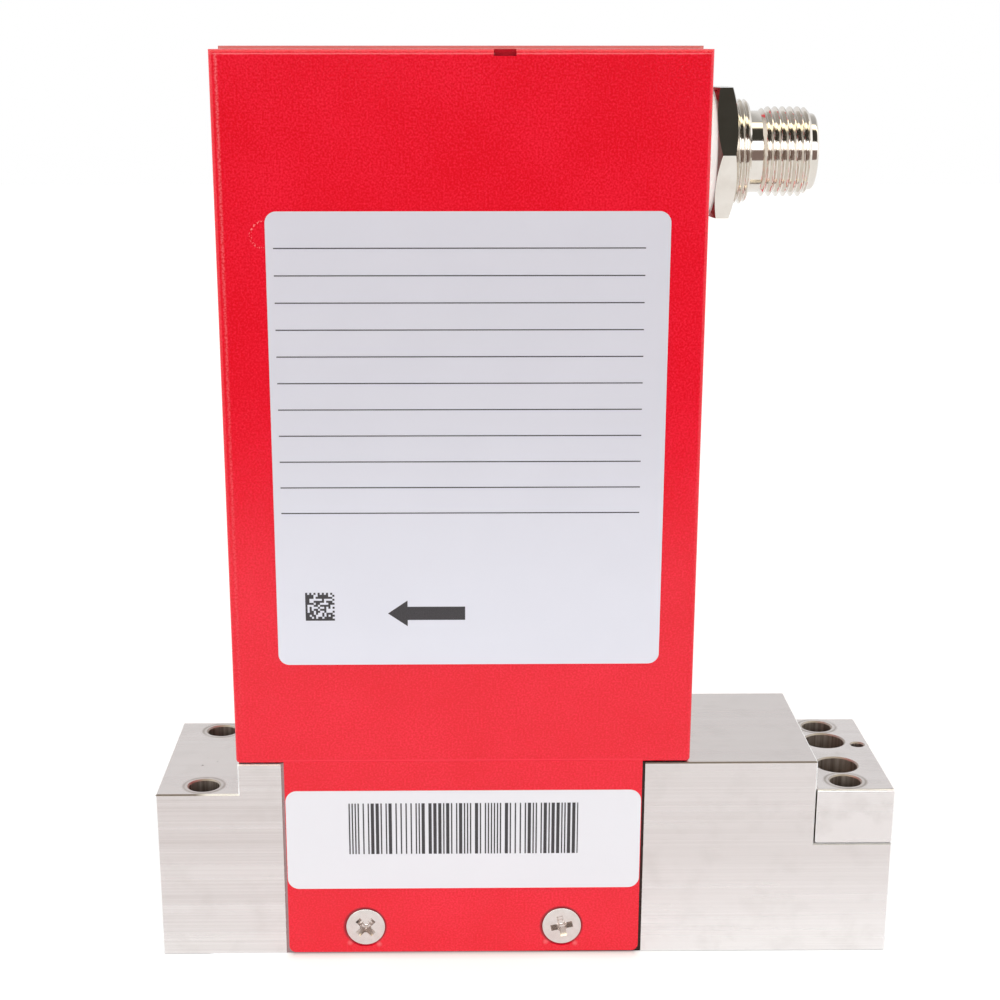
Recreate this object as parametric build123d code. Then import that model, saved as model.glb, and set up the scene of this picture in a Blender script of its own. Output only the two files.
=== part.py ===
"""Mass flow controller for a surface-mount gas panel. All sizes are in millimetres.

X runs against the gas flow: the inlet is at +X and the outlet at -X. Y runs from the front face to
the back, and Z up from the mounting face, whose centre is the origin.
"""
import os
from math import sqrt

from build123d import *

os.makedirs("parts", exist_ok=True)

# ---- Driving sizes: clearances and screws ------------------------------------------------------
fit_gap = 0.03  # radial gap of a located fit
thread_gap = 0.05  # radial gap drawn round a screw thread
seat_gap = 0.1  # gap under a cover's lower edge, and between blocks that stand side by side

m3_d = 3.0
m3_head_d = 5.5
m3_head_height = 3.0
m3_socket = 2.5
m25_d = 2.5
m25_head_d = 4.5
m25_head_height = 2.5
m25_socket = 2.0
m2_d = 2.0
m2_head_d = 3.8
m2_head_height = 1.3
m2_recess = 1.0
socket_depth_share = 0.5  # of the head height, as in the screw standard

# ---- Driving sizes: flow body ------------------------------------------------------------------
port_spacing = 92.0
end_margin = 6.5  # port centre to the end of the body
body_depth = 28.6  # front to back
deck_height = 29.6
outlet_end_drop = 4.55  # of the low outlet end below the deck
outlet_end_length = 11.75
edge_break = 0.2
hole_break = 0.2  # bevel at the mouths of the bolt holes
bolt_row_spacing = 21.8
bolt_hole_d = 4.4
gland_d = 11.4  # face-seal gland round each port
gland_depth = 1.25
port_bore_d = 4.6
port_bore_depth = 3.0
passage_d = 3.2
leak_hole_d = 1.9  # leads from the inlet gland to the top, for the leak test of its seal
leak_hole_x = 4.7  # from the inlet port centre
leak_hole_y = 3.2

# ---- Driving sizes: inlet block ----------------------------------------------------------------
inlet_block_length = 11.2
inlet_block_height = 8.3
inlet_block_drop = 4.3  # of its top below the deck
inlet_block_edge = 0.4
inlet_screw_spacing = 9.6
inlet_screw_length = 10.0
counterbore_depth = 6.0
counterbore_gap = 0.2

# ---- Driving sizes: covers ---------------------------------------------------------------------
sheet = 0.4
bend_radius = 0.25  # inside a fold
case_overhang = 0.15  # past the step of the body at the outlet end
case_height = 96.5  # front cover, from its lower edge to the top
tongue_width = 50.6
tongue_side_gap = 0.4
tongue_lift = 0.3  # of its lower edge above the mounting face
tongue_corner = 1.0
case_corner = 0.5  # lower corners of the case
notch_offset = 5.5  # from the middle of the case
notch_width = 2.85
notch_height = 0.85
notch_depth = 2.0
cover_screw_spacing = 28.4
cover_screw_height = 4.2
cover_screw_head_d = 5.7
cover_screw_rim = 0.15
cover_screw_sink = 0.05
cover_screw_length = 6.0
cover_screw_turns = (45.0, 12.0)  # how far each cross recess is turned
recess_width = 0.85
recess_span = 3.3
recess_depth = 0.9
screw_hole_gap = 0.1

# ---- Driving sizes: labels ---------------------------------------------------------------------
label_thickness = 0.1
rating_label_width = 52.6
rating_label_height = 61.7
rating_label_inset = 6.5  # from the left edge of the case
rating_label_drop = 20.1  # from the top of the front cover
rating_label_corner = 1.5
barcode_label_margin = 0.1  # from each edge of the tongue
barcode_label_height = 15.1
barcode_label_base = 10.4  # height of its lower edge
barcode_label_corner = 1.6

# ---- Driving sizes: bus connector --------------------------------------------------------------
connector_drop = 13.4  # of its axis below the top of the front cover
connector_nut_wall = 1.5  # from the thread to a flat: 17 mm across flats
connector_nut_thickness = 2.7
connector_nut_bevel = 0.5
washer_rim = 0.8
washer_thickness = 1.65
gasket_rim = 1.5
gasket_thickness = 0.8
flange_rim = 2.0
flange_thickness = 2.5
barrel_d = 13.9  # M14 x 1
barrel_end = 6.45  # all ends are measured from the outer face of the case wall
barrel_bevel = 0.4
neck_d = 10.8
neck_end = 8.1
plug_thread_d = 11.9  # M12 x 1
plug_thread_end = 14.65
nose_d = 10.1
nose_end = 15.65
nose_bevel = 0.4
socket_bore_d = 8.8
socket_depth = 9.0
pin_d = 1.0
pin_circle_d = 5.0
pin_reach = 6.4  # out of the insert
pin_tail = 0.8  # past the solder side of the board
insert_tail = 2.0  # behind the flange
relief_gap = 1.0  # round the washer, in the rear cover

# ---- Driving sizes: valve ----------------------------------------------------------------------
outlet_side_space = 3.0  # case wall to the first piece on the deck
inlet_side_space = 5.2  # last piece on the deck to the case wall
part_space = 1.5  # between neighbours on the deck
valve_flange_size = 19.0
valve_flange_height = 6.0
flange_corner = 1.5
flange_screw_inset = 2.3
chamber_d = 15.0
chamber_depth = 2.8
chamber_floor_d = 12.4
chamber_floor_depth = 4.0
diaphragm_thickness = 0.2
valve_seat_d = 5.2
valve_orifice_d = 1.8
valve_seat_lift = 0.05  # open gap under the diaphragm
column_d = 14.4
column_bore_d = 11.4
column_height = 48.0
guide_bore_d = 9.2
guide_height = 4.6
plunger_disc_height = 2.5
plunger_stem_d = 4.8
plunger_height = 7.0
ball_d = 3.0
ball_gap = 1.4  # between plunger and stack, round the ball
stack_size = 5.0
stack_height = 36.0
stack_cap_d = 7.6
stack_cap_height = 2.0
preload_socket = 4.0
preload_nut_height = 3.0
preload_stand = 2.0  # of the preload screw above its nut

# ---- Driving sizes: flow sensor and bypass -----------------------------------------------------
sensor_base_size = 19.0
sensor_base_height = 6.0
sensor_leg_spacing = 13.2
sensor_tube_d = 0.8
sensor_tube_bore = 0.5
sensor_tube_rise = 16.0
sensor_tube_bend = 2.5
coil_d = 2.2
coil_length = 3.2
coil_gap = 0.8
sensor_seal_d = 3.0
sensor_seal_thickness = 0.8
sensor_case_width = 17.6
sensor_case_depth = 8.4
sensor_case_height = 22.0
sensor_case_wall = 0.9
sensor_case_edge = 0.8
sensor_boss_height = 1.5
bypass_bore_d = 8.0
bypass_depth = 21.6
bypass_foot_gap = 4.0  # open space under the bypass
bypass_head_d = 9.0
bypass_head_height = 0.8
bypass_seal_thickness = 0.6
bypass_groove_count = 12
bypass_groove_width = 0.7
bypass_groove_depth = 0.7
bypass_relief_d = 5.6
bypass_relief_height = 3.6
bypass_land_height = 4.4  # sealing land under the head

# ---- Driving sizes: pressure sensor ------------------------------------------------------------
pressure_bore_d = 10.0
pressure_bore_depth = 4.0
pressure_seal_width = 1.0
pressure_seal_thickness = 1.2
pressure_body_d = 12.0
pressure_body_height = 4.0
pressure_neck_d = 10.0
pressure_neck_height = 5.0
pressure_clamp_width = 14.0
pressure_clamp_depth = 22.0
pressure_clamp_wall = 3.6  # over the shoulder of the sensor
pressure_clamp_gap = 0.1
pressure_screw_spacing = 17.2
deck_screw_grip = 6.0  # thread length in the body

# ---- Driving sizes: electronics ----------------------------------------------------------------
bracket_sheet = 0.8
bracket_back_gap = 0.8  # to the rear cover
bracket_top_gap = 4.0  # to the top of the case
bracket_side_gap = 3.2
bracket_foot_depth = 8.3
column_gap = 0.5
spacer_length = 1.5
spacer_d = 3.6
board_thickness = 1.6
board_lift = 4.0  # above the bracket foot
board_margin = 1.0  # inside the outline of the bracket
board_screw_inset = 2.6
board_screw_tail = 0.5
link_board_height = 18.0
link_board_front = 9.0  # from the connector axis to the front edge
header_depth = 4.0
header_height = 10.0
header_margin = 1.0  # above the lower edge of the small board

# ---- Levels and positions that follow ----------------------------------------------------------
body_right = port_spacing / 2 + end_margin
body_left = -body_right
front = -body_depth / 2
back = body_depth / 2
inlet_x = port_spacing / 2
outlet_x = -inlet_x
outlet_step_x = body_left + outlet_end_length
inlet_step_x = body_right - inlet_block_length - seat_gap / 2
inlet_block_top = deck_height - inlet_block_drop
inlet_block_seat = inlet_block_top - inlet_block_height
outlet_end_top = deck_height - outlet_end_drop

deck_row = valve_flange_size + sensor_base_size + pressure_clamp_width + 2 * part_space
case_width = 2 * sheet + outlet_side_space + deck_row + inlet_side_space
case_left = outlet_step_x - case_overhang
case_right = case_left + case_width
case_middle = (case_left + case_right) / 2
case_base = deck_height + seat_gap
front_top = case_base + case_height
rear_top = front_top + sheet
connector_height = front_top - connector_drop
inner_left = case_left + sheet
inner_right = case_right - sheet
inner_top = front_top - sheet

valve_x = inner_left + outlet_side_space + valve_flange_size / 2
sensor_x = valve_x + valve_flange_size / 2 + part_space + sensor_base_size / 2
pressure_x = sensor_x + sensor_base_size / 2 + part_space + pressure_clamp_width / 2
valve_screw_pitch = valve_flange_size - 2 * flange_screw_inset
sensor_screw_pitch = sensor_base_size - 2 * flange_screw_inset
chamber_ledge = deck_height - chamber_depth
chamber_floor = deck_height - chamber_floor_depth
valve_flange_top = deck_height + valve_flange_height
sensor_base_top = deck_height + sensor_base_height
bypass_floor = deck_height - bypass_depth
pressure_floor = deck_height - pressure_bore_depth

BASE = (Align.CENTER, Align.CENTER, Align.MIN)
TOP = (Align.CENTER, Align.CENTER, Align.MAX)


# ---- Helpers -----------------------------------------------------------------------------------
def brick(x0, x1, y0, y1, z0, z1):
    """Box between two opposite corners."""
    return Pos((x0 + x1) / 2, (y0 + y1) / 2, (z0 + z1) / 2) * Box(x1 - x0, y1 - y0, z1 - z0)


def rod(diameter, z0, z1, x=0.0, y=0.0):
    """Upright cylinder between two levels."""
    return Pos(x, y, z0) * Cylinder(diameter / 2, z1 - z0, align=BASE)


def rod_between(diameter, start, end):
    """Cylinder from one point to another."""
    span = Vector(*end) - Vector(*start)
    return Plane(origin=start, z_dir=span) * Cylinder(diameter / 2, span.length, align=BASE)


def rod_x(diameter, x0, x1):
    """Cylinder along X on the axis of the bus connector."""
    return rod_between(diameter, (x0, 0, connector_height), (x1, 0, connector_height))


def ring(outer_d, inner_d, z0, z1, x=0.0, y=0.0):
    return rod(outer_d, z0, z1, x, y) - rod(inner_d, z0, z1, x, y)


def corners(pitch_x, pitch_y):
    return [(sx * pitch_x / 2, sy * pitch_y / 2) for sx in (-1, 1) for sy in (-1, 1)]


def cap_screw(diameter, length, head_d, head_height, socket):
    """Socket-head cap screw, head up, with the underside of its head at z = 0."""
    head = Cylinder(head_d / 2, head_height, align=BASE)
    head = chamfer(head.edges().group_by(Axis.Z)[-1], head_height / 12)
    key = Pos(0, 0, head_height * (1 - socket_depth_share)) * extrude(
        RegularPolygon(socket / 2, 6, major_radius=False), head_height
    )
    return head - key + Cylinder(diameter / 2, length, align=TOP)


def m25_screw(grip):
    return cap_screw(m25_d, grip + deck_screw_grip, m25_head_d, m25_head_height, m25_socket)


def cone_below(mouth_radius, depth):
    """45-degree cone that narrows downwards from z = 0."""
    return Cone(mouth_radius - depth, mouth_radius, depth, align=TOP)


def mouth_bevel(diameter, z, x, y):
    """Cut that breaks the edge at the top of an upright hole."""
    return Pos(x, y, z) * cone_below(diameter / 2 + hole_break, hole_break)


def tapped_hole(diameter, mouth_z, depth, x, y):
    return rod(diameter + 2 * thread_gap, mouth_z - depth, mouth_z, x, y)


# ---- Flow body: one block of stainless steel ---------------------------------------------------
def stepped_blank():
    profile = Plane.XZ * make_face(
        Polyline(
            (body_left, 0),
            (body_right, 0),
            (body_right, inlet_block_seat),
            (inlet_step_x, inlet_block_seat),
            (inlet_step_x, deck_height),
            (outlet_step_x, deck_height),
            (outlet_step_x, outlet_end_top),
            (body_left, outlet_end_top),
            close=True,
        )
    )
    blank = extrude(profile, body_depth / 2, both=True)

    def in_a_step(edge):
        middle = edge.center()
        low_outlet = abs(middle.X - outlet_step_x) + abs(middle.Z - outlet_end_top) < edge_break
        low_inlet = abs(middle.X - inlet_step_x) + abs(middle.Z - inlet_block_seat) < edge_break
        return low_outlet or low_inlet

    return chamfer([e for e in blank.edges() if not in_a_step(e)], edge_break)


def bolt_positions():
    half = bolt_row_spacing / 2
    return [(x, y) for x in (outlet_x, inlet_x) for y in (-half, half)]


def port(x):
    gland = rod(gland_d, 0, gland_depth, x)
    return gland + rod(port_bore_d, 0, gland_depth + port_bore_depth, x)


def gas_passages():
    """Drilled ways from port to port, with the side holes of the flow sensor."""
    top_of_ports = gland_depth + port_bore_depth - passage_d / 2
    way_in = rod_between(passage_d, (inlet_x, 0, top_of_ports), (pressure_x, 0, pressure_floor))
    bypass_inlet = (sensor_x, 0, bypass_floor + passage_d / 2)
    to_bypass = rod_between(passage_d, (pressure_x, 0, pressure_floor), bypass_inlet)
    relief_z = deck_height - bypass_head_height - bypass_seal_thickness
    relief_z -= bypass_land_height + bypass_relief_height / 2
    chamber_entry = (valve_x + chamber_floor_d / 2 - passage_d / 2, 0, chamber_floor)
    to_valve = rod_between(passage_d * 0.75, (sensor_x, 0, relief_z), chamber_entry)
    way_out = rod_between(
        passage_d, (valve_x, 0, chamber_floor - passage_d), (outlet_x, 0, top_of_ports)
    )
    legs = Part()
    half = sensor_leg_spacing / 2
    for leg_x, start, end in (
        (sensor_x + half, (pressure_x, pressure_floor), (sensor_x, bypass_floor + passage_d / 2)),
        (sensor_x - half, (sensor_x, relief_z), (chamber_entry[0], chamber_floor)),
    ):
        share = (leg_x - start[0]) / (end[0] - start[0])
        legs += rod(sensor_tube_d, start[1] + share * (end[1] - start[1]), deck_height, leg_x)
    return way_in + to_bypass + to_valve + way_out + legs


def make_flow_body():
    body = stepped_blank()

    recess_half = tongue_width / 2 + tongue_side_gap
    for y0, y1 in ((front, front + sheet), (back - sheet, back)):
        body -= brick(case_middle - recess_half, case_middle + recess_half, y0, y1, 0, deck_height)

    for x, y in bolt_positions():
        body -= rod(bolt_hole_d, 0, deck_height, x, y)
        if x < 0:
            body -= mouth_bevel(bolt_hole_d, outlet_end_top, x, y)
    for x in (inlet_x, outlet_x):
        body -= port(x)
    body -= rod(leak_hole_d, 0, deck_height, inlet_x + leak_hole_x, leak_hole_y)

    thread_depth = inlet_screw_length - (inlet_block_height - counterbore_depth) + 1
    for side in (-1, 1):
        y = side * inlet_screw_spacing / 2
        body -= tapped_hole(m3_d, inlet_block_seat, thread_depth, inlet_x, y)

    body -= rod(chamber_d, chamber_ledge, deck_height, valve_x)
    body -= rod(chamber_floor_d, chamber_floor, deck_height, valve_x)
    body -= rod(valve_orifice_d * 1.5, chamber_floor - passage_d, chamber_floor, valve_x)
    body -= rod(bypass_bore_d, bypass_floor, deck_height, sensor_x)
    body -= rod(
        bypass_head_d + 2 * fit_gap,
        deck_height - bypass_head_height - bypass_seal_thickness,
        deck_height,
        sensor_x,
    )
    body -= rod(pressure_bore_d, pressure_floor, deck_height, pressure_x)

    grip = deck_screw_grip + 1
    for x, y in corners(valve_screw_pitch, valve_screw_pitch):
        body -= tapped_hole(m25_d, deck_height, grip, valve_x + x, y)
    for x, y in corners(sensor_screw_pitch, sensor_screw_pitch):
        body -= tapped_hole(m25_d, deck_height, grip, sensor_x + x, y)
    for side in (-1, 1):
        y = side * pressure_screw_spacing / 2
        body -= tapped_hole(m25_d, deck_height, grip, pressure_x, y)

    for place in cover_screw_places():
        body -= place * countersink()
    return body - gas_passages()


# ---- Inlet block, screwed into the step at the inlet end ---------------------------------------
def make_inlet_block():
    left = body_right - inlet_block_length
    block = brick(left, body_right, front, back, inlet_block_seat, inlet_block_top)
    block = fillet(block.edges(), inlet_block_edge)
    for x, y in bolt_positions():
        if x > 0:
            block -= rod(bolt_hole_d, inlet_block_seat, inlet_block_top, x, y)
            block -= mouth_bevel(bolt_hole_d, inlet_block_top, x, y)
    for side in (-1, 1):
        y = side * inlet_screw_spacing / 2
        block -= rod(m3_d + 2 * screw_hole_gap, inlet_block_seat, inlet_block_top, inlet_x, y)
        mouth_d = m3_head_d + 2 * counterbore_gap
        block -= rod(mouth_d, inlet_block_top - counterbore_depth, inlet_block_top, inlet_x, y)
        block -= mouth_bevel(mouth_d, inlet_block_top, inlet_x, y)
    leak_x = inlet_x + leak_hole_x
    block -= mouth_bevel(leak_hole_d, inlet_block_top, leak_x, leak_hole_y)
    return block - rod(leak_hole_d, inlet_block_seat, inlet_block_top, leak_x, leak_hole_y)


def make_inlet_block_screws():
    screw = cap_screw(m3_d, inlet_screw_length, m3_head_d, m3_head_height, m3_socket)
    under_head = inlet_block_top - counterbore_depth
    return [Pos(inlet_x, s * inlet_screw_spacing / 2, under_head) * screw for s in (-1, 1)]


# ---- Covers: two folded sheets, the rear one lapping over the front one ------------------------
FACE = (Align.CENTER, Align.MIN, Align.MIN)


def folded_tray(width, height, depth):
    """Sheet face at y = 0 with side and top flanges running to y = depth, open below."""
    outer = round_folds(Box(width, depth, height, align=FACE), bend_radius + sheet)
    lower_corners = outer.edges().filter_by(Axis.Y).group_by(Axis.Z)[0]
    outer = fillet(lower_corners, case_corner)
    inner = Pos(0, sheet, -sheet) * Box(width - 2 * sheet, depth, height, align=FACE)
    return outer - round_folds(inner, bend_radius)


def round_folds(solid, radius):
    """Fillet the three folds round a tray's face. Its flanges meet in square welded seams."""
    face_sides = solid.edges().filter_by(Axis.Z).group_by(Axis.Y)[0]
    face_top = solid.edges().filter_by(Axis.X).group_by(Axis.Y)[0].sort_by(Axis.Z)[-1]
    return fillet([*face_sides, face_top], radius)


def tongue():
    """Flat tongue under a tray's face, local to the tray."""
    drop = case_base - tongue_lift
    plate = Pos(0, 0, -drop) * Box(tongue_width, sheet, drop + bend_radius, align=FACE)
    lower = plate.edges().filter_by(Axis.Y).group_by(Axis.Z)[0]
    return fillet(lower, tongue_corner)


def dimple_mouth_radius():
    return cover_screw_head_d / 2 + cover_screw_rim + cover_screw_sink + fit_gap


def dimple_depth():
    return dimple_mouth_radius() - m3_d / 2 - screw_hole_gap


def dimple():
    return cone_below(dimple_mouth_radius() + sheet * sqrt(2), dimple_depth())


def dimple_void():
    return cone_below(dimple_mouth_radius(), dimple_depth())


def countersink():
    """Cut in the flow body that takes a dimple and the thread below it."""
    depth = dimple_depth() + thread_gap
    mouth = dimple_mouth_radius() + sheet * sqrt(2) + thread_gap
    thread = Cylinder(m3_d / 2 + thread_gap, cover_screw_length + 1, align=TOP)
    return cone_below(mouth, depth) + thread


def cover_screw_places():
    """Frames on the outer faces, with z pointing out of the object: two in front, two behind."""
    places = []
    for y, outward in ((front, -1), (back, 1)):
        for side, turn in zip((-1, 1), cover_screw_turns):
            x = case_middle + side * cover_screw_spacing / 2
            face = Plane((x, y, cover_screw_height), x_dir=(-outward, 0, 0), z_dir=(0, outward, 0))
            places.append(face.location * Rot(0, 0, turn))
    return places


def add_dimples(cover, places):
    for place in places:
        cover += place * dimple()
        cover -= place * dimple_void()
    return cover


def connector_relief():
    """Round cut in the rear cover's side, clear of the connector's washer and nut."""
    reach = barrel_d / 2 + screw_hole_gap + washer_rim + relief_gap
    return rod_x(2 * reach, inner_right, case_right + 2 * sheet)


def make_front_cover():
    depth = body_depth - sheet - bend_radius - seat_gap
    cover = folded_tray(case_width, case_height, depth) + tongue()
    cover = Pos(case_middle, front, case_base) * cover
    notch_x = case_middle + notch_offset
    cover -= brick(
        notch_x - notch_width / 2,
        notch_x + notch_width / 2,
        front,
        front + notch_depth,
        front_top - notch_height,
        front_top,
    )
    cover -= rod_x(barrel_d + 2 * screw_hole_gap, case_right - 2 * sheet, case_right)
    return add_dimples(cover, cover_screw_places()[:2])


def make_rear_cover():
    tray = folded_tray(case_width + 2 * sheet, case_height + sheet, body_depth / 2)
    cover = Pos(case_middle, back, case_base) * Rot(0, 0, 180) * (tray + tongue())
    cover -= connector_relief()
    return add_dimples(cover, cover_screw_places()[2:])


def make_cover_screws():
    """Countersunk screws with a cross recess, their heads just below the outer faces."""
    head_r = cover_screw_head_d / 2
    rim = Cylinder(head_r, cover_screw_rim, align=TOP)
    cone_depth = head_r - m3_d / 2
    cone = Pos(0, 0, -cover_screw_rim) * cone_below(head_r, cone_depth)
    shank = Cylinder(m3_d / 2, cover_screw_length, align=TOP)
    screw = rim + cone + shank
    for arms in ((recess_span, recess_width), (recess_width, recess_span)):
        screw -= Box(*arms, recess_depth, align=TOP)
    return [place * Pos(0, 0, -cover_screw_sink) * screw for place in cover_screw_places()]


# ---- Labels on the front cover -----------------------------------------------------------------
def label(x0, x1, z0, z1, corner):
    outline = RectangleRounded(x1 - x0, z1 - z0, corner)
    face = Plane(((x0 + x1) / 2, front, (z0 + z1) / 2), x_dir=(1, 0, 0), z_dir=(0, -1, 0))
    return extrude(face * outline, label_thickness)


def make_rating_label():
    left = case_left + rating_label_inset
    top = front_top - rating_label_drop
    return label(left, left + rating_label_width, top - rating_label_height, top, rating_label_corner)


def make_barcode_label():
    half = tongue_width / 2 - barcode_label_margin
    top = barcode_label_base + barcode_label_height
    return label(case_middle - half, case_middle + half, barcode_label_base, top, barcode_label_corner)


# ---- Bus connector on the side of the case -----------------------------------------------------
wall_inside = inner_right
flange_face = wall_inside - gasket_thickness
flange_back = flange_face - flange_thickness
insert_face = case_right + nose_end - socket_depth
link_board_x1 = flange_back - insert_tail
link_board_x0 = link_board_x1 - board_thickness


def make_connector_shell():
    shell = rod_x(barrel_d + 2 * flange_rim, flange_back, flange_face)
    barrel = rod_x(barrel_d, flange_back, case_right + barrel_end)
    shell += chamfer(barrel.edges().group_by(Axis.X)[-1], barrel_bevel)
    shell += rod_x(neck_d, flange_back, case_right + neck_end)
    shell += rod_x(plug_thread_d, case_right + neck_end, case_right + plug_thread_end)
    shell += rod_x(nose_d, flange_back, case_right + nose_end)
    shell = chamfer(shell.edges().group_by(Axis.X)[-1], nose_bevel)
    shell -= rod_x(socket_bore_d, flange_back, case_right + nose_end)
    return shell


def make_connector_insert():
    insert = rod_x(socket_bore_d - 2 * fit_gap, link_board_x1, insert_face)
    for y, z in pin_positions():
        insert -= pin_rod(pin_d + 2 * fit_gap, link_board_x1, insert_face, y, z)
    return insert


def pin_positions():
    """Four pins on a circle and one in the middle, as (y, z) from the connector axis."""
    half = pin_circle_d / 2 / sqrt(2)
    return [(-half, -half), (-half, half), (half, half), (half, -half), (0.0, 0.0)]


def pin_rod(diameter, x0, x1, y, z):
    return rod_between(diameter, (x0, y, connector_height + z), (x1, y, connector_height + z))


def make_connector_pins():
    x0, x1 = link_board_x0 - pin_tail, insert_face + pin_reach
    pins = []
    for y, z in pin_positions():
        pin = pin_rod(pin_d, x0, x1, y, z)
        pins.append(chamfer(pin.edges().group_by(Axis.X)[-1], pin_d / 4))
    return pins


def make_connector_washer():
    hole_d = barrel_d + 2 * screw_hole_gap
    outside = case_right + washer_thickness
    return rod_x(hole_d + 2 * washer_rim, case_right, outside) - rod_x(hole_d, case_right, outside)


def make_connector_gasket():
    hole_d = barrel_d + 2 * screw_hole_gap
    rim_d = hole_d + 2 * gasket_rim
    return rod_x(rim_d, flange_face, wall_inside) - rod_x(hole_d, flange_face, wall_inside)


def make_connector_nut():
    """Hexagon nut with two corners level, bevelled on both faces down to its flats."""
    flat = barrel_d / 2 + thread_gap + connector_nut_wall
    corner = flat * 2 / sqrt(3)
    length, bevel = connector_nut_thickness, connector_nut_bevel
    profile = Polyline(
        (0, 0), (flat, 0), (corner, bevel), (corner, length - bevel), (flat, length), (0, length), close=True
    )
    turned = revolve(Plane.XZ * make_face(profile), Axis.Z)
    nut = extrude(RegularPolygon(flat, 6, major_radius=False), length) & turned
    nut -= Cylinder(barrel_d / 2 + thread_gap, length, align=BASE)
    start = (case_right + washer_thickness, 0, connector_height)
    return Plane(start, x_dir=(0, 1, 0), z_dir=(1, 0, 0)).location * nut


# ---- Piezo control valve -----------------------------------------------------------------------
diaphragm_top = chamber_ledge + diaphragm_thickness
plunger_top = diaphragm_top + plunger_height
ball_z = plunger_top + ball_gap / 2
stack_cap_base = plunger_top + ball_gap
stack_base = stack_cap_base + stack_cap_height
stack_top = stack_base + stack_height
column_top = valve_flange_top + column_height
preload_base = stack_top + stack_cap_height


def flange_block(size, height):
    block = Box(size, size, height, align=BASE)
    return fillet(block.edges().filter_by(Axis.Z), flange_corner)


def make_valve_body():
    body = Pos(valve_x, 0, deck_height) * flange_block(valve_flange_size, valve_flange_height)
    body += rod(chamber_d - 2 * fit_gap, diaphragm_top, deck_height, valve_x)
    body += rod(column_d, valve_flange_top, column_top, valve_x)
    body -= rod(guide_bore_d, diaphragm_top, diaphragm_top + guide_height, valve_x)
    body -= rod(column_bore_d, diaphragm_top + guide_height, column_top, valve_x)
    for x, y in corners(valve_screw_pitch, valve_screw_pitch):
        body -= rod(m25_d + 2 * screw_hole_gap, deck_height, valve_flange_top, valve_x + x, y)
    return body


def make_valve_seat():
    top = chamber_ledge - valve_seat_lift
    seat = rod(valve_seat_d, chamber_floor, top, valve_x)
    seat = chamfer(seat.edges().group_by(Axis.Z)[-1], valve_seat_d / 10)
    return seat - rod(valve_orifice_d, chamber_floor, top, valve_x)


def make_valve_diaphragm():
    return rod(chamber_d - 2 * fit_gap, chamber_ledge, diaphragm_top, valve_x)


def make_valve_plunger():
    disc = rod(guide_bore_d - 4 * fit_gap, diaphragm_top, diaphragm_top + plunger_disc_height, valve_x)
    disc = chamfer(disc.edges().group_by(Axis.Z)[-1], plunger_disc_height / 5)
    stem = rod(plunger_stem_d, diaphragm_top, plunger_top, valve_x)
    return disc + stem - Pos(valve_x, 0, ball_z) * Sphere(ball_d / 2 + fit_gap)


def make_valve_ball():
    return Pos(valve_x, 0, ball_z) * Sphere(ball_d / 2)


def make_stack_end_caps():
    lower = rod(stack_cap_d, stack_cap_base, stack_base, valve_x)
    lower -= Pos(valve_x, 0, ball_z) * Sphere(ball_d / 2 + fit_gap)
    return [lower, rod(stack_cap_d, stack_top, preload_base, valve_x)]


def make_piezo_stack():
    stack = Box(stack_size, stack_size, stack_height, align=BASE)
    stack = chamfer(stack.edges().filter_by(Axis.Z), stack_size / 16)
    return Pos(valve_x, 0, stack_base) * stack


def make_preload_screw():
    top = column_top + preload_nut_height + preload_stand
    screw = rod(column_bore_d - 2 * thread_gap, preload_base, top, valve_x)
    screw = chamfer(screw.edges().group_by(Axis.Z)[-1], preload_stand / 4)
    socket = extrude(RegularPolygon(preload_socket / 2, 6, major_radius=False), preload_socket)
    return screw - Pos(valve_x, 0, top - preload_socket) * socket


def make_preload_nut():
    """Hexagon lock nut on the preload screw, seated on the column."""
    nut = extrude(RegularPolygon(column_d / 2, 6, major_radius=False), preload_nut_height)
    nut -= Cylinder(column_bore_d / 2, preload_nut_height, align=BASE)
    return Pos(valve_x, 0, column_top) * nut


# ---- Flow sensor and bypass --------------------------------------------------------------------
def boss_size(outer):
    return outer - 2 * sensor_case_wall - 2 * fit_gap


def leg_positions():
    return [sensor_x - sensor_leg_spacing / 2, sensor_x + sensor_leg_spacing / 2]


def make_sensor_base():
    base = flange_block(sensor_base_size, sensor_base_height)
    base += Pos(0, 0, sensor_base_height) * Box(
        boss_size(sensor_case_width), boss_size(sensor_case_depth), sensor_boss_height, align=BASE
    )
    base = Pos(sensor_x, 0, deck_height) * base
    for x in leg_positions():
        base -= rod(sensor_tube_d + 2 * fit_gap, deck_height, sensor_base_top + sensor_boss_height, x)
        base -= rod(sensor_seal_d, deck_height, deck_height + sensor_seal_thickness, x)
    for x, y in corners(sensor_screw_pitch, sensor_screw_pitch):
        base -= rod(m25_d + 2 * screw_hole_gap, deck_height, sensor_base_top, sensor_x + x, y)
    return base


def make_sensor_seals():
    top = deck_height + sensor_seal_thickness
    outer, inner = sensor_seal_d - 2 * fit_gap, sensor_tube_d + 2 * fit_gap
    return [ring(outer, inner, deck_height, top, x) for x in leg_positions()]


def make_sensor_tube():
    """Capillary in the shape of an upside-down U, down to the deck at both ends."""
    left, right = leg_positions()
    top = tube_level()
    path = FilletPolyline(
        (left, 0, deck_height), (left, 0, top), (right, 0, top), (right, 0, deck_height), radius=sensor_tube_bend
    )
    start = Plane(origin=(left, 0, deck_height), z_dir=(0, 0, 1))
    outside = sweep(start * Circle(sensor_tube_d / 2), path=path)
    return outside - sweep(start * Circle(sensor_tube_bore / 2), path=path)


def tube_level():
    return sensor_base_top + sensor_tube_rise


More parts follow.
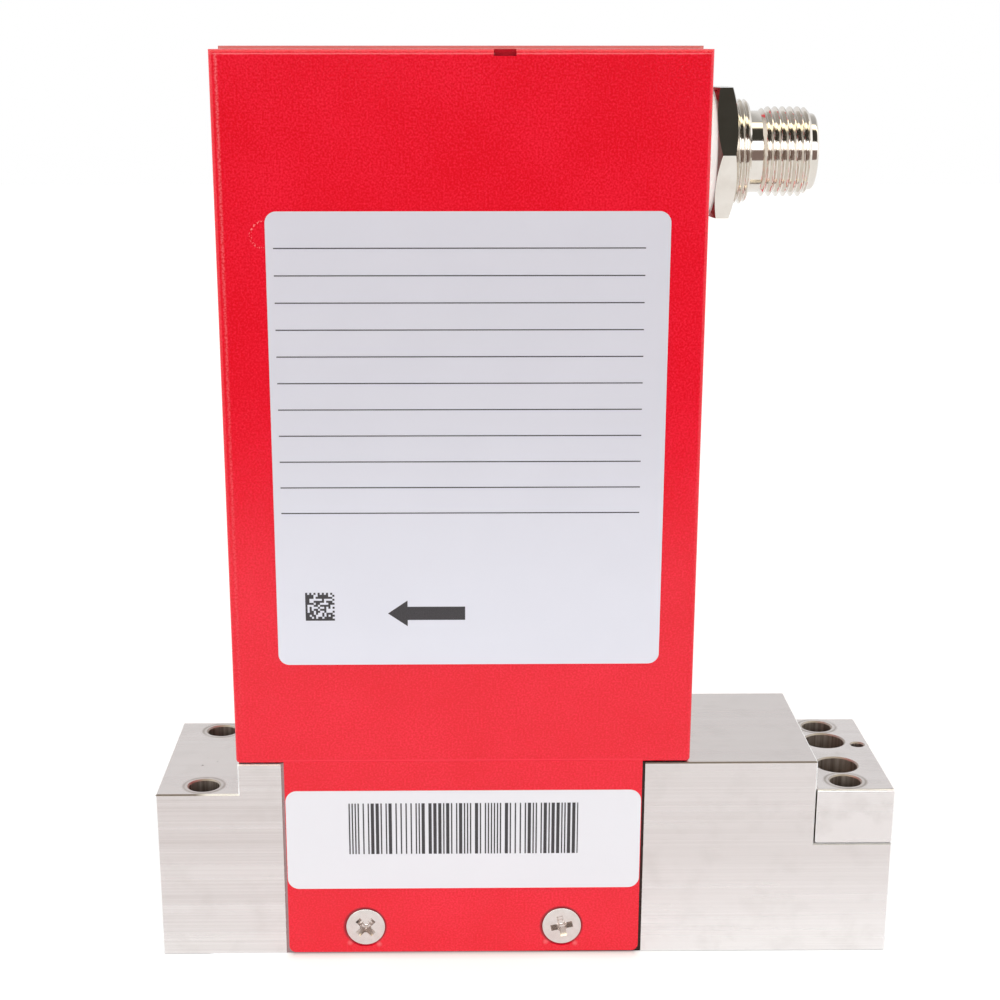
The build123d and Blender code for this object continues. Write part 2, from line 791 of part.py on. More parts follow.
def make_sensor_coils():
    coils = []
    for side in (-1, 1):
        middle = sensor_x + side * (coil_length + coil_gap) / 2
        ends = [(middle + end * coil_length / 2, 0, tube_level()) for end in (-1, 1)]
        coils.append(rod_between(coil_d, *ends) - rod_between(sensor_tube_d + 2 * fit_gap, *ends))
    return coils


def make_sensor_case():
    outer = Box(sensor_case_width, sensor_case_depth, sensor_case_height, align=BASE)
    vertical = outer.edges().filter_by(Axis.Z)
    outer = fillet([*vertical, *outer.edges().group_by(Axis.Z)[-1]], sensor_case_edge)
    wall = sensor_case_wall
    inner = Box(
        sensor_case_width - 2 * wall, sensor_case_depth - 2 * wall, sensor_case_height - wall, align=BASE
    )
    return Pos(sensor_x, 0, sensor_base_top) * (outer - inner)


def make_bypass_element():
    """Turned laminar-flow element: grooved length, relief, sealing land and head."""
    head_top = deck_height
    seal_top = head_top - bypass_head_height
    land_base = seal_top - bypass_seal_thickness - bypass_land_height
    relief_base = land_base - bypass_relief_height
    foot = bypass_floor + bypass_foot_gap
    body_d = bypass_bore_d - 2 * fit_gap
    element = rod(bypass_head_d, seal_top, head_top, sensor_x)
    element += rod(body_d, land_base, seal_top, sensor_x)
    element += rod(bypass_relief_d, relief_base, land_base, sensor_x)
    element += rod(body_d, foot, relief_base, sensor_x)
    groove = Pos(body_d / 2, 0, foot) * Box(
        2 * bypass_groove_depth, bypass_groove_width, relief_base - foot, align=BASE
    )
    for step in range(bypass_groove_count):
        element -= Pos(sensor_x, 0, 0) * Rot(0, 0, step * 360 / bypass_groove_count) * groove
    return element


def make_bypass_seal():
    top = deck_height - bypass_head_height
    return ring(bypass_head_d, bypass_bore_d, top - bypass_seal_thickness, top, sensor_x)


# ---- Pressure sensor ---------------------------------------------------------------------------
pressure_shoulder = deck_height + pressure_body_height
pressure_clamp_top = pressure_shoulder + pressure_clamp_wall


def make_pressure_sensor():
    sensor = rod(pressure_bore_d - 2 * fit_gap, pressure_floor + pressure_seal_thickness, deck_height, pressure_x)
    sensor += rod(pressure_body_d, deck_height, pressure_shoulder, pressure_x)
    sensor += rod(pressure_neck_d, pressure_shoulder, pressure_shoulder + pressure_neck_height, pressure_x)
    return chamfer(sensor.edges().group_by(Axis.Z)[-1], pressure_neck_d / 20)


def make_pressure_sensor_seal():
    outer = pressure_bore_d - 2 * fit_gap
    top = pressure_floor + pressure_seal_thickness
    return ring(outer, outer - 2 * pressure_seal_width, pressure_floor, top, pressure_x)


def make_pressure_sensor_clamp():
    base = deck_height + pressure_clamp_gap
    height = pressure_clamp_top - base
    clamp = Box(pressure_clamp_width, pressure_clamp_depth, height, align=BASE)
    clamp = Pos(pressure_x, 0, base) * fillet(clamp.edges().filter_by(Axis.Z), flange_corner)
    clamp -= rod(pressure_body_d + 2 * screw_hole_gap, base, pressure_shoulder, pressure_x)
    clamp -= rod(pressure_neck_d + 2 * screw_hole_gap, base, pressure_clamp_top, pressure_x)
    for side in (-1, 1):
        y = side * pressure_screw_spacing / 2
        clamp -= rod(m25_d + 2 * screw_hole_gap, base, pressure_clamp_top, pressure_x, y)
    return clamp


def make_pressure_sensor_screws():
    screw = m25_screw(pressure_clamp_top - deck_height)
    half = pressure_screw_spacing / 2
    return [Pos(pressure_x, side * half, pressure_clamp_top) * screw for side in (-1, 1)]


# ---- Screws on the deck: the two at the back of each flange also hold the board bracket --------
def flange_screws(middle_x, pitch, flange_top):
    screws = []
    for x, y in corners(pitch, pitch):
        under_head = flange_top + (bracket_sheet if y > 0 else 0)
        screws.append(Pos(middle_x + x, y, under_head) * m25_screw(under_head - deck_height))
    return screws


# ---- Board bracket, boards and what is on them -------------------------------------------------
bracket_back = back - sheet - bracket_back_gap
bracket_front = bracket_back - bracket_sheet
bracket_left = valve_x - valve_flange_size / 2
bracket_right = inner_right - bracket_side_gap
bracket_top = inner_top - bracket_top_gap
foot_top = valve_flange_top + bracket_sheet
board_back = bracket_front - spacer_length
board_front = board_back - board_thickness
board_left = bracket_left + board_margin
board_right = bracket_right - board_margin
board_base = foot_top + board_lift
board_top = bracket_top - board_margin


def make_board_bracket():
    """Folded bracket: an upright plate with a foot under the rear flange screws."""
    foot_right = sensor_x + sensor_base_size / 2
    profile = Plane.YZ * make_face(
        Polyline(
            (bracket_back, valve_flange_top),
            (bracket_back, bracket_top),
            (bracket_front, bracket_top),
            (bracket_front, foot_top),
            (bracket_back - bracket_foot_depth, foot_top),
            (bracket_back - bracket_foot_depth, valve_flange_top),
            close=True,
        )
    )
    bracket = Pos(bracket_left, 0, 0) * extrude(profile, bracket_right - bracket_left)
    outer_fold = bracket.edges().filter_by(Axis.X).group_by(Axis.Z)[0].sort_by(Axis.Y)[-1]
    bracket = fillet(outer_fold, bracket_sheet)
    bracket -= brick(foot_right, bracket_right, front, back, valve_flange_top, foot_top + board_lift / 2)
    bracket -= rod(column_d + 2 * column_gap, valve_flange_top, foot_top, valve_x)
    for middle, pitch in ((valve_x, valve_screw_pitch), (sensor_x, sensor_screw_pitch)):
        for side in (-1, 1):
            x = middle + side * pitch / 2
            bracket -= rod(m25_d + 2 * screw_hole_gap, valve_flange_top, foot_top, x, pitch / 2)
    for x, z in board_screw_positions():
        bracket -= rod_y(m2_d + 2 * thread_gap, x, z, bracket_front, bracket_back)
    return bracket


def rod_y(diameter, x, z, y0, y1):
    return rod_between(diameter, (x, y0, z), (x, y1, z))


def board_screw_positions():
    inset = board_screw_inset
    xs = (board_left + inset, board_right - inset)
    zs = (board_base + inset, board_top - inset)
    return [(x, z) for x in xs for z in zs]


def make_board_spacers():
    spacers = []
    for x, z in board_screw_positions():
        spacer = rod_y(spacer_d, x, z, board_back, bracket_front)
        spacers.append(spacer - rod_y(m2_d + 2 * screw_hole_gap, x, z, board_back, bracket_front))
    return spacers


def make_board_screws():
    length = board_thickness + spacer_length + bracket_sheet + board_screw_tail
    screws = []
    for x, z in board_screw_positions():
        screw = Cylinder(m2_head_d / 2, m2_head_height, align=BASE)
        screw = fillet(screw.edges().group_by(Axis.Z)[-1], m2_head_height / 3)
        screw += Cylinder(m2_d / 2, length, align=TOP)
        for arms in ((m2_recess * 2, m2_recess / 2), (m2_recess / 2, m2_recess * 2)):
            screw -= Pos(0, 0, m2_head_height) * Box(*arms, m2_head_height)
        face = Plane((x, board_front, z), x_dir=(1, 0, 0), z_dir=(0, -1, 0))
        screws.append(face.location * screw)
    return screws


def make_main_board():
    board = brick(board_left, board_right, board_front, board_back, board_base, board_top)
    board = fillet(board.edges().filter_by(Axis.Y), board_margin)
    for x, z in board_screw_positions():
        board -= rod_y(m2_d + 2 * screw_hole_gap, x, z, board_front, board_back)
    return board


# Places on the board: x is measured back from its inlet-side edge, z up from the top of the plugs
chips = {  # x, z, width, height and thickness
    "flow_converter": (20.0, 5.0, 8.0, 6.0, 1.5),
    "valve_driver": (9.0, 5.5, 7.0, 7.0, 1.5),
    "memory": (9.0, 17.0, 5.0, 6.0, 1.6),
    "processor": (22.0, 21.0, 12.0, 12.0, 1.4),
    "bus_transceiver": (22.0, 44.5, 5.0, 6.2, 1.6),
}
capacitor_d = 6.3
capacitor_height = 5.8
capacitor_pitch = 7.5
capacitor_x = 5.0
capacitor_z = 27.0
inductor_x = 22.0
inductor_z = 34.0
inductor_size = 7.0
inductor_height = 3.5
plug_x = 16.0
plug_pitch = 12.0
plug_width = 8.0
plug_height = 4.0
plug_depth = 3.2
plug_gap = 0.8  # over the flow sensor's case
plug_base = sensor_base_top + sensor_case_height + plug_gap
parts_level = plug_base + plug_height


def on_board(x, z, width, height, depth):
    """Box soldered to the front of the main board."""
    x0, z0 = board_right - x - width / 2, parts_level + z - height / 2
    return brick(x0, x0 + width, board_front - depth, board_front, z0, z0 + height)


def make_board_chips():
    return [on_board(*size) for size in chips.values()]


def make_board_capacitors():
    cans = []
    for step in range(2):
        x = board_right - capacitor_x - step * capacitor_pitch
        z = parts_level + capacitor_z
        can = rod_y(capacitor_d, x, z, board_front - capacitor_height, board_front)
        cans.append(fillet(can.edges().group_by(Axis.Y)[0], capacitor_d / 16))
    return cans


def make_power_inductor():
    inductor = on_board(inductor_x, inductor_z, inductor_size, inductor_size, inductor_height)
    return chamfer(inductor.edges().filter_by(Axis.Y), inductor_size / 6)


def make_board_plugs():
    """Headers for the leads of the flow sensor and the valve."""
    places = [plug_x + side * plug_pitch / 2 for side in (-1, 1)]
    return [on_board(x, -plug_height / 2, plug_width, plug_height, plug_depth) for x in places]


def make_link_board():
    """Small board behind the bus connector, its five pins soldered through it."""
    z0 = connector_height - link_board_height / 2
    y1 = board_front - m2_head_height - seat_gap
    board = brick(link_board_x0, link_board_x1, -link_board_front, y1, z0, z0 + link_board_height)
    for y, z in pin_positions():
        board -= pin_rod(pin_d + 2 * fit_gap, link_board_x0, link_board_x1, y, z)
    return board


def make_board_link():
    """Right-angle header that joins the small board to the main board."""
    x0, y0 = link_board_x0 - header_depth, board_front - header_depth
    z0 = connector_height - link_board_height / 2 + header_margin
    return brick(x0, link_board_x0, y0, board_front, z0, z0 + header_height)


# ---- Write one STEP file for each node ---------------------------------------------------------
nodes = {
    "flow_body": make_flow_body(),
    "inlet_block": make_inlet_block(),
    "inlet_block_screws": make_inlet_block_screws(),
    "front_cover": make_front_cover(),
    "rear_cover": make_rear_cover(),
    "cover_screws": make_cover_screws(),
    "rating_label": make_rating_label(),
    "barcode_label": make_barcode_label(),
    "connector_shell": make_connector_shell(),
    "connector_insert": make_connector_insert(),
    "connector_pins": make_connector_pins(),
    "connector_washer": make_connector_washer(),
    "connector_gasket": make_connector_gasket(),
    "connector_nut": make_connector_nut(),
    "valve_body": make_valve_body(),
    "valve_screws": flange_screws(valve_x, valve_screw_pitch, valve_flange_top),
    "valve_seat": make_valve_seat(),
    "valve_diaphragm": make_valve_diaphragm(),
    "valve_plunger": make_valve_plunger(),
    "valve_ball": make_valve_ball(),
    "stack_end_caps": make_stack_end_caps(),
    "piezo_stack": make_piezo_stack(),
    "preload_screw": make_preload_screw(),
    "preload_nut": make_preload_nut(),
    "sensor_base": make_sensor_base(),
    "sensor_screws": flange_screws(sensor_x, sensor_screw_pitch, sensor_base_top),
    "sensor_seals": make_sensor_seals(),
    "sensor_tube": make_sensor_tube(),
    "sensor_coils": make_sensor_coils(),
    "sensor_case": make_sensor_case(),
    "bypass_element": make_bypass_element(),
    "bypass_seal": make_bypass_seal(),
    "pressure_sensor": make_pressure_sensor(),
    "pressure_sensor_seal": make_pressure_sensor_seal(),
    "pressure_sensor_clamp": make_pressure_sensor_clamp(),
    "pressure_sensor_screws": make_pressure_sensor_screws(),
    "board_bracket": make_board_bracket(),
    "board_spacers": make_board_spacers(),
    "board_screws": make_board_screws(),
    "main_board": make_main_board(),
    "board_chips": make_board_chips(),
    "board_capacitors": make_board_capacitors(),
    "power_inductor": make_power_inductor(),
    "board_plugs": make_board_plugs(),
    "link_board": make_link_board(),
    "board_link": make_board_link(),
}

for name, shape in nodes.items():
    if isinstance(shape, list):
        shape = Compound([solid for item in shape for solid in item.solids()])
    export_step(shape, f"parts/{name}.step")
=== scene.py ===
import random
from math import cos, pi, radians, sin

import bpy
from mathutils import Matrix, Vector


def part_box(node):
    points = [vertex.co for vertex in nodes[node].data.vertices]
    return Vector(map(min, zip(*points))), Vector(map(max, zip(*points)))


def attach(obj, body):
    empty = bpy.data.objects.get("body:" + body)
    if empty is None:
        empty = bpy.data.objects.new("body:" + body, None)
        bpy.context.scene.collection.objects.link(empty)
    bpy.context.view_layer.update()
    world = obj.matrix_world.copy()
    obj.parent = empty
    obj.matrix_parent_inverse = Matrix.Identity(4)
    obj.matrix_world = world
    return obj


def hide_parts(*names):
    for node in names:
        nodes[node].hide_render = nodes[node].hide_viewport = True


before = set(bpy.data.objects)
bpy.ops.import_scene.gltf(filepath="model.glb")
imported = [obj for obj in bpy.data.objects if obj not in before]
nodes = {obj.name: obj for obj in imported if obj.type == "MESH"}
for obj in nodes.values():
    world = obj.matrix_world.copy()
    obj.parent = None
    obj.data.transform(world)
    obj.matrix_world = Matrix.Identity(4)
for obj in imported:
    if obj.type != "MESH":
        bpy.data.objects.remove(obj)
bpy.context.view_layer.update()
mm = 0.001
random.seed(7)
print("frame loaded,", len(nodes), "nodes")


# small helpers

def hexColour(text):
    # sRGB hex to the linear values that shaders take
    parts = [int(text[i:i + 2], 16) / 255 for i in (1, 3, 5)]
    return [c / 12.92 if c <= 0.04045 else ((c + 0.055) / 1.055) ** 2.4 for c in parts] + [1.0]


def addNode(tree, kind, inputs=None, **settings):
    # one node, its settings, and its inputs: a socket is linked, anything else is set
    node = tree.nodes.new("ShaderNode" + kind)
    for name, value in settings.items():
        setattr(node, name, value)
    for key, value in (inputs or {}).items():
        if isinstance(value, bpy.types.NodeSocket):
            tree.links.new(value, node.inputs[key])
        else:
            node.inputs[key].default_value = value
    return node


def startMaterial(name, values):
    material = bpy.data.materials.new(name)
    material.use_nodes = True
    tree = material.node_tree
    shader = tree.nodes["Principled BSDF"]
    for key, value in values.items():
        shader.inputs[key].default_value = value
    place = addNode(tree, "TexCoord").outputs["Object"]
    return material, tree, shader, place


def blendColours(tree, factor, low, high):
    # colour that runs from low to high with a factor; each may be a hex value or a socket
    ends = [hexColour(c) if isinstance(c, str) else c for c in (low, high)]
    mix = addNode(tree, "Mix", {0: factor, 6: ends[0], 7: ends[1]}, data_type="RGBA")
    return mix.outputs[2]


def spread(tree, value, fromLow, fromHigh, toLow=0.0, toHigh=1.0):
    inputs = {"Value": value, 1: fromLow, 2: fromHigh, 3: toLow, 4: toHigh}
    return addNode(tree, "MapRange", inputs).outputs[0]


def calc(tree, operation, first, second=0.0):
    return addNode(tree, "Math", {0: first, 1: second}, operation=operation).outputs[0]


def times(tree, first, second):
    return calc(tree, "MULTIPLY", first, second)


def most(tree, first, second):
    return calc(tree, "MAXIMUM", first, second)


def magnitude(tree, value):
    return calc(tree, "ABSOLUTE", value)


def mixValues(tree, factor, low, high):
    return addNode(tree, "Mix", {0: factor, 2: low, 3: high}).outputs[0]


def between(tree, value, low, high, fade=0.05):
    # 1 inside the range in mm, 0 outside
    rise = spread(tree, value, (low - fade) * mm, low * mm)
    return times(tree, rise, spread(tree, value, (high + fade) * mm, high * mm))


def split(tree, vector):
    return addNode(tree, "SeparateXYZ", {0: vector}).outputs


def distance(tree, first, second):
    return addNode(tree, "VectorMath", {0: first, 1: second}, operation="DISTANCE").outputs["Value"]


def addNoise(tree, place, grain, detail=2.0, **more):
    # noise with bumps of a size in mm
    inputs = {"Vector": place, "Scale": 1 / (grain * mm), "Detail": detail}
    inputs.update(more)
    return addNode(tree, "TexNoise", inputs).outputs[0]


def addStretchedNoise(tree, place, grains, detail=2.0):
    # noise with its own size in mm along each axis
    scale = [1 / (grain * mm) for grain in grains]
    local = addNode(tree, "Mapping", {"Vector": place, "Scale": scale})
    inputs = {"Vector": local.outputs[0], "Scale": 1.0, "Detail": detail}
    return addNode(tree, "TexNoise", inputs).outputs[0]


def setSurface(tree, shader, tint, bumpHeight, strength, depth, rough=None, normal=None):
    # colour, fine relief of a depth in mm, and where it varies the roughness
    tree.links.new(tint, shader.inputs["Base Color"])
    if rough:
        tree.links.new(rough, shader.inputs["Roughness"])
    bump = {"Height": bumpHeight, "Strength": strength, "Distance": depth * mm}
    if normal:
        bump["Normal"] = normal
    tree.links.new(addNode(tree, "Bump", bump).outputs[0], shader.inputs["Normal"])


def newPiece(name, mesh, material):
    piece = bpy.data.objects.new(name, mesh)
    bpy.context.scene.collection.objects.link(piece)
    mesh.materials.append(material)
    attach(piece, "root")
    return piece


def meshFrom(name, points, faces, smoothAngle=None):
    mesh = bpy.data.meshes.new(name)
    mesh.from_pydata(points, [], faces)
    mesh.validate()
    if smoothAngle:
        mesh.polygons.foreach_set("use_smooth", [True] * len(mesh.polygons))
        mesh.set_sharp_from_angle(angle=radians(smoothAngle))
    mesh.update()
    return mesh


# cover screws, whose places the paint round them needs too

screw = dict(
    headRadius=2.85, rim=0.2, rimRound=0.16, shankRadius=1.5, length=6.0,
    wingSpan=3.2, wingSpanDeep=1.5, wingWidth=0.95, wingWidthDeep=0.55, recessDepth=1.3,
    coreRadius=0.85, coreRadiusDeep=0.45, coreDepth=1.75, coreTip=0.2,
    turns=(45, 12), pointsAround=96, pointsAroundCore=32,
)


# red covers: steel sheet, powder coated

powderCoat = dict(
    red="#E8001E", lightRed="#F81C3A",
    toneRange=(0.42, 0.66), cloudShare=0.2,  # of the slow change in that tone
    roughness=0.13,
    grainSize=0.27,  # mm, the orange-peel bumps of the cured powder
    grainHeight=0.022,  # mm
    cloudSize=9.0,  # mm, slow change in the thickness of the coat
    rubAndHighlight="#FF9A9E",
    # mm, rubbed mark beside the label
    ringCentre=(-34.6, -14.3, 103.1), ringRadius=1.7, ringWidth=0.22,
    ringShare=0.8, ringDots=(0.5, 0.62),  # the grain left red inside it
    ridgeHighlightFrom=0.95, ridgeHighlightWidth=0.30,  # mm from the left side, a painted highlight line where the sheet rises before its fold
    ridgeHighlightFade=(30, 120), ridgeHighlightShare=0.45,  # mm up, where that line starts and shows fully
    ridgeHighlightDots=(0.4, 0.58, 0.2, 1.0),
    crownHighlight=(0.75, 0.55), crownHighlightShare=0.10,  # mm below the top, where a painted highlight makes its fold look paler
    cutEdge="#DC8882", cutBehind=(-13.9, -13.8),  # mm, thin coat on the sheared edge of the sheet
    # painted shade as dark rims round the cover screws, and painted highlights as pale spots under
    # them, both placed one by one
    shadeRimRadius=2.98, shadeRimOffset=(-0.07, 0.10), shadeRimFade=0.22, shadeRimRed="#A4001C",  # mm
    glints=((-2.3, -2.45), (1.95, -2.7)), glintSize=(0.5, 0.1), glintShare=0.34,  # mm
    notchX=(-4.9, -1.9), notchY=(-14, -12), notchShadeRed="#C40022",  # mm, painted shade: darker red behind the notch
    # painted light: a lighter red over the shade of a shallow groove that the CAD has across the
    # top of the tongue
    tongueX=(-34.15, 16.35), joinZ=(29.93, 30.20), joinLightRed="#F9203A",  # mm
    joinFacing=(0.80, 0.85), flatFacing=(0.9990, 0.9995),  # y part of the normals made level
    frontFacing=(-0.9, -0.97),
)


def makePowderCoat():
    # Sprayed powder, stoved: an even saturated red whose fine bumps break the gloss into a sheen
    p = powderCoat
    values = {"Roughness": p["roughness"], "Specular IOR Level": 0.5, "IOR": 1.5}
    material, tree, shader, place = startMaterial("powderCoatedSteel", values)
    grain = addNoise(tree, place, p["grainSize"])
    clouds = addNoise(tree, place, p["cloudSize"], 3.0)
    tone = spread(tree, mixValues(tree, p["cloudShare"], grain, clouds), *p["toneRange"])
    colour = blendColours(tree, tone, p["red"], p["lightRed"])
    where = split(tree, place)
    shape = addNode(tree, "NewGeometry").outputs
    facing = split(tree, shape["True Normal"])
    toFront = spread(tree, facing["Y"], *p["frontFacing"])

    far = distance(tree, place, [v * mm for v in p["ringCentre"]])
    offRing = magnitude(tree, calc(tree, "SUBTRACT", far, p["ringRadius"] * mm))
    ring = spread(tree, offRing, p["ringWidth"] * mm, 0.0, 0.0, p["ringShare"])
    ring = times(tree, ring, spread(tree, grain, *p["ringDots"]))
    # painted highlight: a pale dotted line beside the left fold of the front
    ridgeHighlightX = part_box("front_cover")[0].x + p["ridgeHighlightFrom"] * mm
    offRidgeHighlight = magnitude(tree, calc(tree, "SUBTRACT", where["X"], ridgeHighlightX))
    ridgeHighlight = spread(tree, offRidgeHighlight, p["ridgeHighlightWidth"] * mm, 0.0, 0.0, p["ridgeHighlightShare"])
    ridgeHighlight = times(tree, ridgeHighlight, toFront)
    ridgeHighlight = times(tree, ridgeHighlight, spread(tree, where["Z"], *[v * mm for v in p["ridgeHighlightFade"]]))
    ridgeHighlight = times(tree, ridgeHighlight, spread(tree, grain, *p["ridgeHighlightDots"]))
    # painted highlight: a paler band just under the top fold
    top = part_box("front_cover")[1].z
    crownHighlight = spread(tree, where["Z"], *[top - v * mm for v in p["crownHighlight"]], 0.0, p["crownHighlightShare"])
    # one pale colour for the rubbed ring beside the label and for the painted highlights on the
    # folds
    rubAndHighlight = most(tree, most(tree, ring, ridgeHighlight), crownHighlight)
    colour = blendColours(tree, rubAndHighlight, colour, p["rubAndHighlight"])

    # paler red on the sheared edge of the rear cover, and painted shade in darker red behind the
    # notch
    behind = spread(tree, where["Y"], *[v * mm for v in p["cutBehind"]])
    inNotch = between(tree, where["X"], *p["notchX"])
    inNotch = times(tree, inNotch, between(tree, where["Y"], *p["notchY"]))
    back = blendColours(tree, inNotch, p["cutEdge"], p["notchShadeRed"])
    colour = blendColours(tree, times(tree, behind, toFront), colour, back)
    level = magnitude(tree, facing["Y"])
    # painted light: a lighter red across the top of the tongue
    join = between(tree, where["X"], *p["tongueX"])
    join = times(tree, join, between(tree, where["Z"], *p["joinZ"]))
    join = times(tree, join, spread(tree, level, *p["joinFacing"]))
    colour = blendColours(tree, join, colour, p["joinLightRed"])

    # rims of the four screw dimples, found from either side of the middle: painted highlight spots
    # under each and a painted shade ring round each
    low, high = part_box("cover_screws")
    middle, height = (low.x + high.x) / 2, (low.z + high.z) / 2
    half = (high.x - middle) - screw["headRadius"] * mm
    side = calc(tree, "SUBTRACT", where["X"], middle)
    side = calc(tree, "SUBTRACT", side, times(tree, calc(tree, "SIGN", side), half))
    up = calc(tree, "SUBTRACT", where["Z"], height)
    flat = addNode(tree, "CombineXYZ", {0: side, 1: up}).outputs[0]

    def awayFrom(x, z):
        return distance(tree, flat, (x * mm, z * mm, 0))

    # painted highlights: pale spots below each screw
    nearest = calc(tree, "MINIMUM", *[awayFrom(*spot) for spot in p["glints"]])
    lit = spread(tree, nearest, *[v * mm for v in p["glintSize"]], 0.0, p["glintShare"])
    colour = blendColours(tree, lit, colour, p["rubAndHighlight"])
    # painted shade: a dark red ring round each screw head
    outer = p["shadeRimRadius"] + p["shadeRimFade"]
    rim = spread(tree, awayFrom(*p["shadeRimOffset"]), outer * mm, p["shadeRimRadius"] * mm)
    colour = blendColours(tree, rim, colour, p["shadeRimRed"])

    # level normals on the flats and across the top of the tongue
    flat = most(tree, spread(tree, level, *p["flatFacing"]), join)
    straight = addNode(tree, "CombineXYZ", {1: calc(tree, "SIGN", facing["Y"])}).outputs[0]
    normal = addNode(tree, "Mix", {0: flat, 4: shape["Normal"], 5: straight}, data_type="VECTOR")
    setSurface(tree, shader, colour, grain, 1.0, p["grainHeight"], normal=normal.outputs[1])
    return material


# flow body and inlet block: stainless steel, milled and then surface ground

stainless = dict(
    pale="#F6F1F0", dark="#C4BAB7",
    lineWidth=0.16,  # mm, grinding lines, coarser than real ones so that they show
    bandWidth=1.5,  # mm, groups of lines with the same gloss
    lineLength=90.0,  # mm
    calmer=(-20, 20, 0.5),  # mm in x over which the lines get fainter, and how faint
    topShare=0.18,  # how much of the lines shows on the level faces, which were lapped after
    edge="#FFFFFF", edgeRoughness=0.5,  # edges broken by hand with a stone; white is a painted highlight on the edges picked below
    edgeFacing=(0.85, 0.8),  # largest part of the normal
    # which front edges of the body get a painted highlight, and the rest a painted shade, placed
    # one by one: mm in x, then mm up for the ledge
    edgeShade="#8A827C", highlightedEdges=(-46.8, -45.2, -20, -19),
    ledgeTop=(20, 19), ledgeHighlight=0.55, sideFacing=(0.3, 0.2),
    mouth="#B5ACA3", mouthWidth=(0.9, 0.8),  # mm, bevels of the holes
    leakHole=(50.7, 3.2), leakRadius=0.95,
    seam="#7C6A5F", seamWidth=0.15,  # mm, a darker strip painted along the joint beside the inlet block
    seamEnds=0.2, seamDepth=(-13.0, -13.5),  # mm
    roughness=(0.20, 0.30), boreRoughness=0.58, rubRoughness=0.15,
    # painted light, as tone over mm in x, and over mm in z with its rise at the outlet and the
    # inlet, and its start
    drift=((-60, 70, 0.15), (16, 0, 0.30, 0.46), -0.09), footX=(-30, 30),
    blockLift=0.2,
    stain="#B1A9A3", stainSize=5, stainRange=(0.5, 0.75),
    bore="#B3A79D", boreShade="#84776E",  # drilled and left dull
    boreFade=(0.14, 0.10), streakWidth=0.5, streakLength=30, streakRange=(0.35, 0.65),  # mm
    boltHoles=(46.0, 10.9), boltRadius=2.2, rubRadius=2.9, rubWidth=0.35,
    rubRim=1.3, rubFill=0.45, rubClouds=(0.3, 0.7, 0.4, 1.0),
    screwHoles=(46.0, 4.8), screwRadius=2.95,
    specks=[(-47.2, -3.3, 0.20), (-45.2, -1.9, 0.13), (-46.8, -0.4, 0.10)],  # x, y, radius
    speck="#6E6258", speckShare=0.8,
    grooveDepth=(14.2, 14.0),  # mm from the middle plane, milled floors beside the tongues
    # painted reflection of the red tongue, then painted shade, on those floors, split at mm in x
    grooveReflectionAndShade=("#A58A8A", "#3E302E"), grooveX=(-5, 5), grooveFacing=(0.9, 0.95),
    slopeFacing=(0.69, 0.71),  # faces past 45 degrees count as ends or as tops
)


